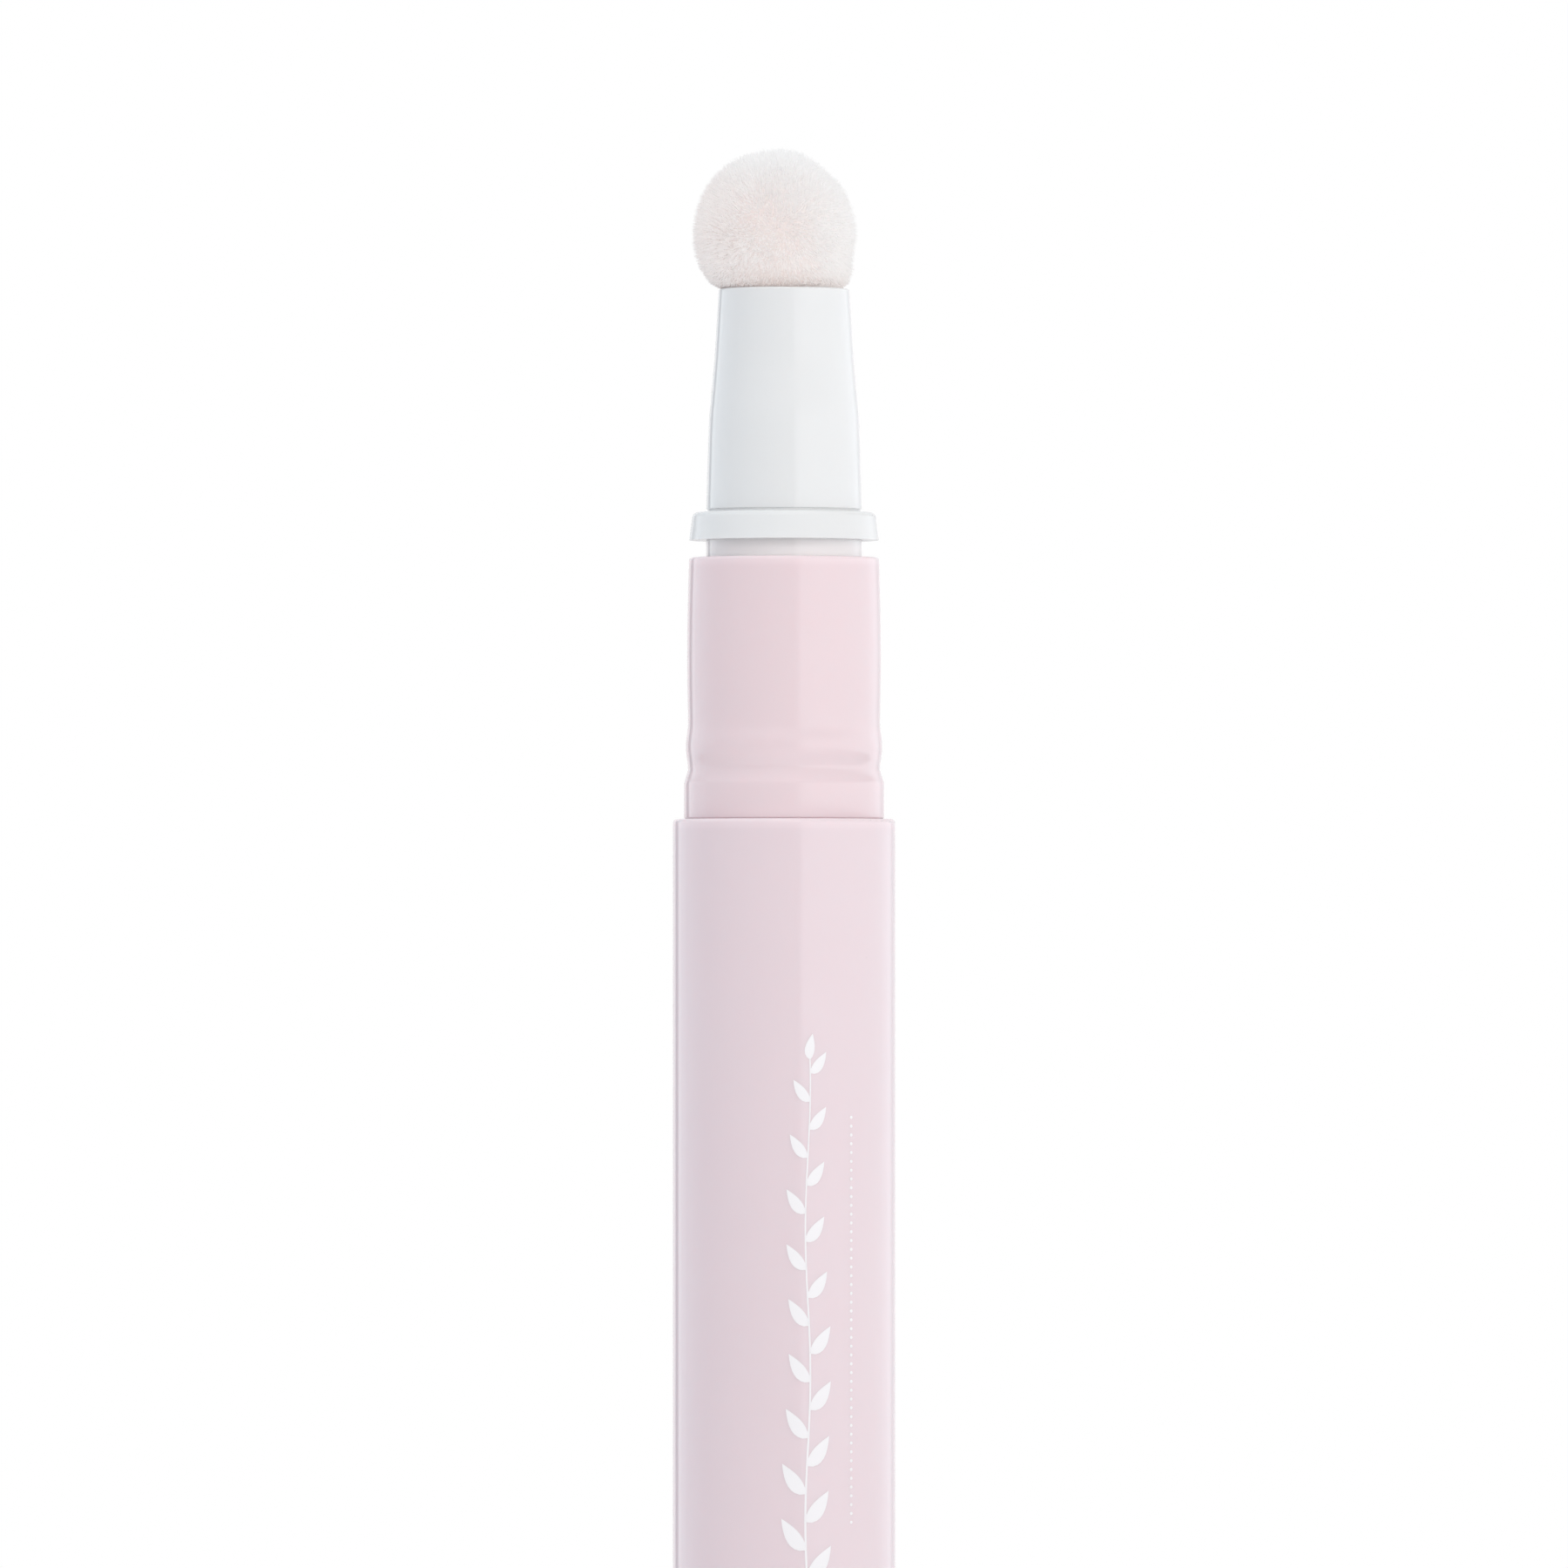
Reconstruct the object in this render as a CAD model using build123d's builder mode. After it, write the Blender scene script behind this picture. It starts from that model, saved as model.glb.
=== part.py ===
from build123d import *

import os
from math import acos, cos, degrees, radians, sin, sqrt

# A twist pen for nail and cuticle oil, standing tip up on the end of its knob, cap off.
#
# Turning the knob turns a keyed drive sleeve, and the sleeve turns a threaded spindle. The
# spindle climbs through a fixed nut and pushes a piston up the reservoir, so that oil rises
# through the feed tube into the flocked ball. A ratchet lets the knob turn one way only.
#
# The origin is the centre of the tail end, and +Z runs up the pen's axis to the tip. Lengths
# are in millimetres and angles in degrees. Radii are worked out from the outside in, each
# piece from the wall round it less a clearance, and heights are worked out up the stack.

# ---- Clearances, on the radius or along the axis ----
press_gap = 0.02  # pressed, snapped or bonded together
slip_gap = 0.05  # slid together, and then still
run_gap = 0.07  # turning or sliding on each other
end_gap = 0.1  # end play of what turns or slides

# ---- Barrel and knob ----
barrel_d = 14.0
barrel_wall = 1.0
barrel_rim_round = 0.25
parting_gap = 0.2  # the line between knob and barrel
parting_round = 0.15
key_count = 3  # grooves in the barrel's bore, which stop the fixed pieces from turning
key_width = 1.2
key_reach = 0.3
snap_height = 0.18  # snap beads of the bearing ring and the end plug
snap_width = 0.6
knob_length = 18.0
knob_wall = 1.1
knob_web = 1.4
knob_tail_round = 0.5
lip_height = 0.8  # the knob's register lip, inside the barrel's mouth
lip_wall = 0.8
hub_lift = 0.5  # from the end plug to the knob's hub
hub_wall = 0.9
knob_rib_count = 6
knob_rib_width = 0.8
plug_recess = 0.3
plug_floor = 1.2
plug_skirt_height = 2.5
plug_skirt_wall = 0.9

# ---- Collar: heights above the barrel's top, and depths inside the foot ring ----
collar_height = 16.44
collar_ledge = 0.3  # the foot ring reaches this far out past the barrel's bore
collar_rim_round = 0.15
collar_foot_round = 0.12
foot_ring_height = 2.36
waist_height = 3.07
waist_depth = 0.245
bead_height = 4.66
bead_depth = 0.11
bead_top_height = 6.47
belly_height = 9.8
belly_depth = 0.175
collar_top_depth = 0.3
skirt_length = 6.0  # the spigot that is bonded into the barrel
skirt_wall = 0.6

# ---- Reservoir and piston ----
piston_stroke = 35.2
neck_wall = 0.55
neck_rise = 2.0  # how far the reservoir stands up inside the collar
piston_length = 6.0
piston_lift = 1.0  # the piston's height above the nut before the first turn
piston_head_room = 0.3  # what is left above the piston at the end of its stroke
lip_length = 0.6
lip_thickness = 0.55
lip_relief = 0.42
piston_skirt_wall = 0.75
piston_nose_height = 1.7
nose_groove_depth = 1.0
boss_recess = 0.5
boss_wall = 0.95
socket_lip = 0.9

# ---- Applicator ----
ferrule_plug_length = 5.0
ferrule_wall = 1.2
retaining_step = 0.345  # the inner flange stands this far out of the shank
flange_thickness = 1.1
neck_gap = 1.09  # bare shank between the collar and the seal ring
seal_ring_height = 1.76
seal_ring_top_reach = 0.84  # how far the seal ring stands out of the shank
seal_ring_foot_reach = 1.06
seal_ring_round = 0.35
ferrule_height = 14.05  # the tapered part that shows above the seal ring
ferrule_foot_round = 0.1
ferrule_rim_round = 0.12
foot_height = 5.7  # the ferrule's slightly tapered foot, and its soft shoulder above it
foot_taper = 0.165
shoulder_height = 3.8
shoulder_taper = 0.35
shoulder_blend = 30.0
tip_taper = 0.28
socket_wall = 1.16
socket_depth = 9.3
ball_overhang = 1.11  # the ball is this much wider than the ferrule's rim, on the radius
ball_half_height = 5.49
ball_foot_reach = 0.02  # the ball's cut foot is this much wider than the rim that it sits on
ball_foot_round = 0.3
core_disc_thickness = 0.6
core_disc_step = 0.4
core_post_r = 1.5
core_post_length = 3.2
barb_height = 1.2
barb_reach = 0.7
port_r = 0.4
feed_tube_r = 1.0
feed_bore_r = 0.6
tube_seat_depth = 5.5
orifice_floor = 0.8
orifice_disc = 2.4
orifice_boss_height = 1.4
orifice_boss_wall = 0.8
ring_groove_start = 1.9
ring_groove_height = 1.3
ring_groove_depth = 0.75
ring_section_height = 1.0  # the O-ring is squeezed to an oval in its groove

# ---- Twist mechanism ----
bearing_length = 2.0
bearing_split = 1.6
ratchet_wall = 0.45
ratchet_length = 4.6
tooth_count = 16
tooth_depth = 0.4
tooth_clear = 0.1  # between the click ring's arms or noses and the teeth
arm_thickness = 0.45
arm_span = 104.0
arm_root_span = 20.0
arm_travel = 0.2  # room for an arm to flex in towards the hub
click_hub_wall = 0.7
click_thickness = 2.4
sleeve_wall = 0.85
sleeve_shoulder = 1.0
sleeve_shoulder_reach = 0.9
sleeve_key_width = 1.0
sleeve_key_reach = 0.35
spline_count = 8
spline_width = 0.8
spline_reach = 0.25
sleeve_bottom_gap = 1.0  # from the end plug's floor to the drive sleeve
housing_wall = 0.95
nut_flange = 2.0
nut_skirt = 2.5
nut_ceiling = 0.9
nut_spigot = 2.5
nut_spigot_wall = 0.9
nut_hub_wall = 1.1
tail_inset = 0.5  # from the drive sleeve's lower end to the spindle's tail
tail_over_travel = 0.8  # key left in the drive sleeve at the end of the stroke
tail_key_length = 4.0
tail_key_reach = 0.7
head_step = 0.3
head_length = 1.2
head_chamfer = 0.4
swivel_neck_step = 0.5

# ---- Radii, from the outside in ----
barrel_r = barrel_d / 2
bore_r = barrel_r - barrel_wall
core_r = bore_r - slip_gap
knob_bore_r = barrel_r - knob_wall
foot_ring_r = bore_r + collar_ledge
skirt_r = core_r - skirt_wall
neck_r = skirt_r - slip_gap
reservoir_r = neck_r - neck_wall
piston_r = reservoir_r - run_gap
flange_r = neck_r - slip_gap
shank_r = flange_r - retaining_step
ferrule_plug_r = reservoir_r - slip_gap
ferrule_bore_r = ferrule_plug_r - ferrule_wall
ferrule_rim_r = shank_r - foot_taper - shoulder_taper - tip_taper
socket_r = ferrule_rim_r - socket_wall
ball_r = ferrule_rim_r + ball_overhang
ball_foot_r = ferrule_rim_r + ball_foot_reach
core_disc_r = ferrule_rim_r - core_disc_step
tooth_root_r = core_r - ratchet_wall
tooth_tip_r = tooth_root_r - tooth_depth
arm_outer_r = tooth_tip_r - tooth_clear
arm_inner_r = arm_outer_r - arm_thickness
click_hub_r = arm_inner_r - arm_travel
sleeve_r = click_hub_r - click_hub_wall - slip_gap
sleeve_bore_r = sleeve_r - sleeve_wall
tail_key_r = sleeve_bore_r - run_gap
spindle_r = tail_key_r - tail_key_reach
tail_flat = spindle_r + slip_gap  # half the distance across the tail key's flats
head_r = spindle_r - head_step
swivel_neck_r = head_r - swivel_neck_step
housing_r = core_r - housing_wall
hub_r = sleeve_r + press_gap + hub_wall

# ---- Heights, from the tail up ----
plug_floor_top = plug_recess + plug_floor
plug_top = plug_floor_top + plug_skirt_height
plug_snap_z = plug_floor_top + plug_skirt_height / 2
hub_bottom = plug_top + hub_lift
web_bottom = knob_length - knob_web
sleeve_bottom = plug_floor_top + sleeve_bottom_gap
tail_bottom = sleeve_bottom + tail_inset
sleeve_top = tail_bottom + tail_key_length + piston_stroke + tail_over_travel
barrel_bottom = knob_length + parting_gap
bearing_bottom = knob_length + lip_height + 2 * end_gap
bearing_top = bearing_bottom + bearing_length
bearing_snap_z = bearing_bottom + bearing_length / 2
shoulder_bottom = bearing_top + end_gap
shoulder_top = shoulder_bottom + sleeve_shoulder
ratchet_top = bearing_top + ratchet_length
nut_ceiling_z = sleeve_top + end_gap
housing_top = nut_ceiling_z + nut_ceiling
nut_top = housing_top + nut_flange
nut_spigot_top = nut_top + nut_spigot
piston_bottom = nut_spigot_top + piston_lift
piston_top = piston_bottom + piston_length
boss_bottom = piston_bottom + boss_recess
spindle_shoulder = boss_bottom - end_gap
head_bottom = boss_bottom + socket_lip + end_gap
head_top = head_bottom + head_length
ferrule_bottom = piston_top + piston_stroke + piston_head_room
neck_top = ferrule_bottom + ferrule_plug_length
flange_top = neck_top + flange_thickness
barrel_top = neck_top - neck_rise
skirt_bottom = barrel_top - skirt_length
collar_top = barrel_top + collar_height
seal_ring_bottom = collar_top + neck_gap
seal_ring_top = seal_ring_bottom + seal_ring_height
ferrule_top = seal_ring_top + ferrule_height
socket_bottom = ferrule_top - socket_depth
core_disc_top = ferrule_top + core_disc_thickness
core_post_top = core_disc_top + core_post_length
ball_middle = ferrule_top + ball_half_height * sqrt(1 - (ball_foot_r / ball_r) ** 2)


def level(height):
    """The plane across the pen's axis at a height."""
    return Plane.XY.offset(height)


def polar(radius, angle):
    """The point at a radius and an angle round the axis."""
    return radius * cos(radians(angle)), radius * sin(radians(angle))


def tube(outer, inner):
    """The cross-section of a round tube."""
    with BuildSketch() as section:
        Circle(outer)
        Circle(inner, mode=Mode.SUBTRACT)
    return section.sketch


def ribs(inner, outer, width, count):
    """The cross-section of straight ribs round the axis, from one radius to another."""
    with BuildSketch() as section:
        with PolarLocations((inner + outer) / 2, count):
            Rectangle(outer - inner, width)
    return section.sketch


def keyed_disc():
    """A disc that fills the barrel's bore, with ribs that fit its key grooves."""
    with BuildSketch() as section:
        Circle(core_r)
        add(
            ribs(
                core_r - key_reach,
                bore_r + key_reach - slip_gap,
                key_width - 2 * slip_gap,
                key_count,
            )
        )
    return section.sketch


def double_d(radius, flat):
    """A circle with two flats, each at this distance from the axis."""
    with BuildSketch() as section:
        Circle(radius)
        Rectangle(2 * radius, 2 * flat, mode=Mode.INTERSECT)
    return section.sketch


def core_head(gap):
    """Half the outline of what the tip core holds the ball with, made larger by a gap."""
    barb_bottom = core_post_top - barb_height
    with BuildSketch() as section:
        with BuildLine():
            Polyline(
                (0, ferrule_top - gap),
                (core_disc_r + gap, ferrule_top - gap),
                (core_disc_r + gap, core_disc_top + gap),
                (core_post_r + gap, core_disc_top + gap),
                (core_post_r + gap, barb_bottom - gap),
                (core_post_r + barb_reach + gap, barb_bottom - gap),
                (core_post_r + gap, core_post_top + gap),
                (0, core_post_top + gap),
                close=True,
            )
        make_face()
    return section.sketch


# ---- Barrel sleeve: a smooth pink tube. Its bore carries the reservoir above and the twist
# mechanism below, and has three key grooves and a snap groove at its lower end. ----
with BuildPart() as barrel_sleeve:
    with BuildSketch(level(barrel_bottom)):
        add(tube(barrel_r, bore_r))
    extrude(amount=barrel_top - barrel_bottom)
    fillet(barrel_sleeve.edges().group_by(Axis.Z)[-1].sort_by(SortBy.LENGTH)[-1], barrel_rim_round)
    fillet(barrel_sleeve.edges().group_by(Axis.Z)[0].sort_by(SortBy.LENGTH)[-1], parting_round)
    with BuildSketch(level(barrel_bottom)):
        add(ribs(core_r - key_reach, bore_r + key_reach, key_width, key_count))
    extrude(amount=nut_top - barrel_bottom, mode=Mode.SUBTRACT)
    with BuildSketch(level(bearing_snap_z)):
        Circle(bore_r + snap_height)
    extrude(amount=snap_width / 2 + press_gap, both=True, mode=Mode.SUBTRACT)
barrel_sleeve.part.label = "barrel_sleeve"

# ---- Cap collar: a pink ring that a cap snaps onto. Its foot ring stands on the barrel's
# top, its skirt is bonded into the bore, and its inner shoulder holds the ferrule down. ----
with BuildPart() as cap_collar:
    with BuildSketch(Plane.XZ):
        with BuildLine():
            inside = Polyline(
                (foot_ring_r - waist_depth, barrel_top + waist_height),
                (foot_ring_r, barrel_top + foot_ring_height),
                (foot_ring_r, barrel_top),
                (core_r, barrel_top),
                (core_r, skirt_bottom),
                (skirt_r, skirt_bottom),
                (skirt_r, flange_top),
                (shank_r + slip_gap, flange_top),
                (shank_r + slip_gap, collar_top),
                (foot_ring_r - collar_top_depth, collar_top),
            )
            Spline(
                inside @ 1,
                (foot_ring_r - belly_depth, barrel_top + belly_height),
                (foot_ring_r - waist_depth, barrel_top + bead_top_height),
                (foot_ring_r - bead_depth, barrel_top + bead_height),
                inside @ 0,
            )
        make_face()
    revolve(axis=Axis.Z)
    rim_edges = cap_collar.edges().group_by(Axis.Z)[-1]
    fillet(rim_edges.sort_by(SortBy.LENGTH)[-1], collar_rim_round)
    foot_edges = cap_collar.edges().filter_by(GeomType.CIRCLE).group_by(Axis.Z)[1]
    fillet(foot_edges.sort_by(SortBy.LENGTH)[-1], collar_foot_round)
cap_collar.part.label = "cap_collar"

# ---- Reservoir tube: clear polypropylene with a straight bore for the piston. It stands on
# the nut, and its thinner neck goes up inside the collar's skirt. ----
with BuildPart() as reservoir_tube:
    with BuildSketch(level(nut_top)):
        Circle(core_r)
    extrude(amount=skirt_bottom - end_gap - nut_top)
    with BuildSketch(level(nut_top)):
        Circle(neck_r)
    extrude(amount=neck_top - nut_top)
    with BuildSketch(level(nut_top)):
        Circle(reservoir_r)
    extrude(amount=neck_top - nut_top, mode=Mode.SUBTRACT)
reservoir_tube.part.label = "reservoir_tube"

# ---- Applicator ferrule: glossy white. Its plug and O-ring close the reservoir, its flange
# is held between reservoir and collar, and its tapered tip carries the ball. ----
with BuildPart() as applicator_ferrule:
    with BuildSketch(Plane.XZ):
        with BuildLine():
            tip_outline = FilletPolyline(
                (shank_r, seal_ring_top),
                (shank_r - foot_taper, seal_ring_top + foot_height),
                (ferrule_rim_r + tip_taper, seal_ring_top + foot_height + shoulder_height),
                (ferrule_rim_r, ferrule_top),
                radius=shoulder_blend,
            )
            Polyline(
                tip_outline @ 1,
                (socket_r, ferrule_top),
                (socket_r, socket_bottom),
                (ferrule_bore_r, socket_bottom - (ferrule_bore_r - socket_r)),
                (ferrule_bore_r, ferrule_bottom),
                (ferrule_plug_r, ferrule_bottom),
                (ferrule_plug_r, neck_top),
                (flange_r, neck_top),
                (flange_r, flange_top),
                (shank_r, flange_top),
                tip_outline @ 0,
            )
        make_face()
    revolve(axis=Axis.Z)
    fillet(applicator_ferrule.edges().group_by(Axis.Z)[-1].sort_by(SortBy.LENGTH)[-1], ferrule_rim_round)
    with BuildSketch(level(ferrule_bottom + ring_groove_start)):
        add(tube(flange_r, ferrule_plug_r - ring_groove_depth))
    extrude(amount=ring_groove_height, mode=Mode.SUBTRACT)
    with BuildSketch(Plane.XZ):
        with Locations((shank_r, seal_ring_top + ferrule_foot_round)):
            Circle(ferrule_foot_round)
    revolve(axis=Axis.Z, mode=Mode.SUBTRACT)
applicator_ferrule.part.label = "applicator_ferrule"

# ---- Seal ring: a matte white flared ring, pressed down the shank from above. The cap's
# inner wall seals on its edge. ----
with BuildPart() as seal_ring:
    with BuildSketch(Plane.XZ):
        with BuildLine():
            Polyline(
                (shank_r + press_gap, seal_ring_bottom),
                (shank_r + seal_ring_foot_reach, seal_ring_bottom),
                (shank_r + seal_ring_top_reach, seal_ring_top),
                (shank_r + press_gap, seal_ring_top),
                close=True,
            )
        make_face()
    revolve(axis=Axis.Z)
    fillet(seal_ring.edges().group_by(Axis.Z)[-1].sort_by(SortBy.LENGTH)[-1], seal_ring_round)
seal_ring.part.label = "seal_ring"

# ---- Neck O-ring: rubber, squeezed to an oval between the ferrule's groove and the bore. ----
with BuildPart() as neck_o_ring:
    groove_floor_r = ferrule_plug_r - ring_groove_depth
    ring_half_width = (reservoir_r - groove_floor_r) / 2 - press_gap
    ring_centre_z = ferrule_bottom + ring_groove_start + ring_groove_height / 2
    with BuildSketch(Plane.XZ):
        with Locations(((reservoir_r + groove_floor_r) / 2, ring_centre_z)):
            Ellipse(ring_half_width, ring_section_height / 2)
    revolve(axis=Axis.Z)
neck_o_ring.part.label = "neck_o_ring"

# ---- Tip core: pressed into the ferrule's socket. A disc closes the rim, and a barbed post
# with side ports holds the ball and lets the oil out into the foam. ----
with BuildPart() as tip_core:
    with BuildSketch(level(socket_bottom)):
        Circle(socket_r - press_gap)
    extrude(amount=socket_depth)
    with BuildSketch(Plane.XZ):
        add(core_head(0))
    revolve(axis=Axis.Z)
    with BuildSketch(level(socket_bottom)):
        Circle(feed_bore_r)
    extrude(amount=core_post_top - socket_bottom, mode=Mode.SUBTRACT)
    with BuildSketch(level(socket_bottom)):
        Circle(feed_tube_r + press_gap)
    extrude(amount=tube_seat_depth, mode=Mode.SUBTRACT)
    port_z = core_disc_top + (core_post_length - barb_height) / 2
    for across in (Plane.XZ, Plane.YZ):
        with BuildSketch(across):
            with Locations((0, port_z)):
                Circle(port_r)
        extrude(amount=core_post_r + barb_reach, both=True, mode=Mode.SUBTRACT)
tip_core.part.label = "tip_core"

# ---- Flocked tip: a soft open-cell ball, a little taller than wide, cut flat where it sits
# on the ferrule's rim. The size is that of its short pile. ----
with BuildPart() as flocked_tip:
    foot_angle = -degrees(acos(ball_foot_r / ball_r))
    with BuildSketch(Plane.XZ):
        with BuildLine():
            ball_outline = EllipticalCenterArc(
                (0, ball_middle),
                ball_r,
                ball_half_height,
                start_angle=foot_angle,
                arc_size=90 - foot_angle,
            )
            Polyline(ball_outline @ 1, (0, ferrule_top), ball_outline @ 0)
        make_face()
        add(core_head(press_gap), mode=Mode.SUBTRACT)
    revolve(axis=Axis.Z)
    fillet(flocked_tip.edges().group_by(Axis.Z)[0].sort_by(SortBy.LENGTH)[-1], ball_foot_round)
flocked_tip.part.label = "flocked_tip"

# ---- Feed tube: a thin tube up the hollow ferrule, from the orifice plug to the tip core. ----
with BuildPart() as feed_tube:
    feed_bottom = ferrule_bottom + orifice_floor
    with BuildSketch(level(feed_bottom)):
        add(tube(feed_tube_r, feed_bore_r))
    extrude(amount=socket_bottom + tube_seat_depth - feed_bottom)
feed_tube.part.label = "feed_tube"

# ---- Orifice plug: closes the ferrule's foot round the feed tube, so that no oil fills the
# hollow ferrule. ----
with BuildPart() as orifice_plug:
    tube_seat_r = feed_tube_r + press_gap
    with BuildSketch(level(ferrule_bottom)):
        Circle(ferrule_bore_r - press_gap)
    extrude(amount=orifice_disc)
    with BuildSketch(level(ferrule_bottom + orifice_disc)):
        Circle(tube_seat_r + orifice_boss_wall)
    extrude(amount=orifice_boss_height)
    with BuildSketch(level(ferrule_bottom)):
        Circle(feed_bore_r)
    extrude(amount=orifice_disc, mode=Mode.SUBTRACT)
    with BuildSketch(level(ferrule_bottom + orifice_floor)):
        Circle(tube_seat_r)
    extrude(amount=orifice_disc + orifice_boss_height, mode=Mode.SUBTRACT)
orifice_plug.part.label = "orifice_plug"

# ---- Piston: soft plastic with a sealing lip at each end. A groove behind the front lip lets
# the oil spread it, and the boss underneath snaps over the spindle's head and swivels. ----
with BuildPart() as piston:
    waist_r = piston_r - lip_relief
    nose_r = head_r + run_gap + boss_wall
    with BuildSketch(Plane.XZ):
        with BuildLine():
            Polyline(
                (0, piston_bottom),
                (piston_r, piston_bottom),
                (piston_r, piston_bottom + lip_length),
                (waist_r, piston_bottom + lip_length + lip_relief),
                (waist_r, piston_top - lip_length - lip_relief),
                (piston_r, piston_top - lip_length),
                (piston_r, piston_top),
                (piston_r - lip_thickness, piston_top),
                (waist_r - lip_thickness, piston_top - nose_groove_depth),
                (nose_r, piston_top - nose_groove_depth),
                (nose_r, piston_top),
                (0, piston_top),
                close=True,
            )
        make_face()
    revolve(axis=Axis.Z)
    with BuildSketch(level(piston_bottom)):
        add(tube(waist_r - piston_skirt_wall, nose_r))
    extrude(amount=piston_length - nose_groove_depth - piston_nose_height, mode=Mode.SUBTRACT)
    with BuildSketch(level(piston_bottom)):
        Circle(nose_r)
    extrude(amount=boss_recess, mode=Mode.SUBTRACT)
    with BuildSketch(level(boss_bottom)):
        Circle(swivel_neck_r + run_gap)
    extrude(amount=socket_lip, mode=Mode.SUBTRACT)
    with BuildSketch(level(boss_bottom + socket_lip)):
        Circle(head_r + run_gap)
    extrude(amount=head_length + 2 * end_gap, mode=Mode.SUBTRACT)
piston.part.label = "piston"

# ---- Spindle: the rod that carries the thread. Its keyed tail slides in the drive sleeve,
# and its headed tip turns inside the piston. ----
with BuildPart() as spindle:
    with BuildSketch(level(tail_bottom)):
        add(double_d(tail_key_r, tail_flat))
    extrude(amount=tail_key_length)
    with BuildSketch(level(tail_bottom)):
        Circle(spindle_r)
    extrude(amount=spindle_shoulder - tail_bottom)
    with BuildSketch(level(spindle_shoulder)):
        Circle(swivel_neck_r)
    extrude(amount=head_bottom - spindle_shoulder)
    with BuildSketch(level(head_bottom)):
        Circle(head_r)
    extrude(amount=head_length)
    chamfer(spindle.edges().group_by(Axis.Z)[-1], head_chamfer)
spindle.part.label = "spindle"

# ---- Spindle nut: stands on the housing and is keyed to the barrel. Its skirt steadies the
# drive sleeve, its spigot plugs the reservoir, and the spindle climbs through its hub. ----
with BuildPart() as spindle_nut:
    with BuildSketch(level(housing_top)):
        add(keyed_disc())
    extrude(amount=nut_flange)
    with BuildSketch(level(housing_top)):
        Circle(housing_r - slip_gap)
    extrude(amount=-nut_skirt)
    with BuildSketch(level(nut_top)):
        Circle(reservoir_r - slip_gap)
    extrude(amount=nut_spigot)
    with BuildSketch(level(nut_top)):
        add(tube(reservoir_r - slip_gap - nut_spigot_wall, spindle_r + run_gap + nut_hub_wall))
    extrude(amount=nut_spigot, mode=Mode.SUBTRACT)
    with BuildSketch(level(housing_top - nut_skirt)):
        Circle(sleeve_r + run_gap)
    extrude(amount=nut_skirt - nut_ceiling, mode=Mode.SUBTRACT)
    with BuildSketch(level(nut_ceiling_z)):
        Circle(spindle_r + run_gap)
    extrude(amount=nut_spigot_top - nut_ceiling_z, mode=Mode.SUBTRACT)
spindle_nut.part.label = "spindle_nut"

# ---- Mechanism housing: the fixed tube that stands on the ratchet ring and bears the nut. ----
with BuildPart() as mechanism_housing:
    with BuildSketch(level(ratchet_top)):
        add(keyed_disc())
        Circle(housing_r, mode=Mode.SUBTRACT)
    extrude(amount=housing_top - ratchet_top)
mechanism_housing.part.label = "mechanism_housing"

# ---- Ratchet ring: fixed, with saw teeth inside. Each tooth gap has a steep wall at its
# start and a ramp back in, so a pawl slides over it one way and locks the other way. ----
tooth_pitch = 360 / tooth_count
with BuildPart() as ratchet_ring:
    with BuildSketch(level(bearing_top)):
        add(keyed_disc())
        Circle(tooth_tip_r, mode=Mode.SUBTRACT)
        for tooth in range(tooth_count):
            start = tooth * tooth_pitch
            with BuildLine():
                Polyline(
                    polar(arm_inner_r, start),
                    polar(tooth_root_r, start),
                    polar(tooth_tip_r, start + tooth_pitch),
                    polar(arm_inner_r, start + tooth_pitch),
                    close=True,
                )
            make_face(mode=Mode.SUBTRACT)
    extrude(amount=ratchet_length)
ratchet_ring.part.label = "ratchet_ring"

# ---- Click ring: keyed on the drive sleeve, with two spring arms that trail behind the turn.
# The nose at the end of each arm drops into the tooth gaps. ----
with BuildPart() as click_ring:
    nose_start = degrees(tooth_clear / tooth_root_r)
    nose_r_out = tooth_root_r - tooth_clear
    with BuildSketch(level(shoulder_top)):
        add(tube(click_hub_r, sleeve_r + slip_gap))
        for side in (0, 180):
            start = side + nose_start
            root_start = start + arm_span - arm_root_span
            with BuildLine():
                CenterArc((0, 0), arm_outer_r, start, arm_span)
                CenterArc((0, 0), arm_inner_r, start, arm_span)
                Line(polar(arm_inner_r, start), polar(arm_outer_r, start))
                Line(polar(arm_inner_r, start + arm_span), polar(arm_outer_r, start + arm_span))
            make_face()
            with BuildLine():
                CenterArc((0, 0), arm_outer_r, root_start, arm_root_span)
                CenterArc((0, 0), sleeve_r + slip_gap, root_start, arm_root_span)
                Line(polar(sleeve_r + slip_gap, root_start), polar(arm_outer_r, root_start))
                Line(
                    polar(sleeve_r + slip_gap, root_start + arm_root_span),
                    polar(arm_outer_r, root_start + arm_root_span),
                )
            make_face()
            with BuildLine():
                Polyline(
                    polar(arm_inner_r, start),
                    polar(nose_r_out, start),
                    polar(arm_outer_r, start + tooth_pitch - nose_start),
                    polar(arm_inner_r, start + tooth_pitch - nose_start),
                    close=True,
                )
            make_face()
        add(
            ribs(
                sleeve_r - sleeve_wall / 2,
                sleeve_r + sleeve_key_reach + slip_gap,
                sleeve_key_width + 2 * slip_gap,
                2,
            ),
            rotation=90,
            mode=Mode.SUBTRACT,
        )
    extrude(amount=click_thickness)
click_ring.part.label = "click_ring"

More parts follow.
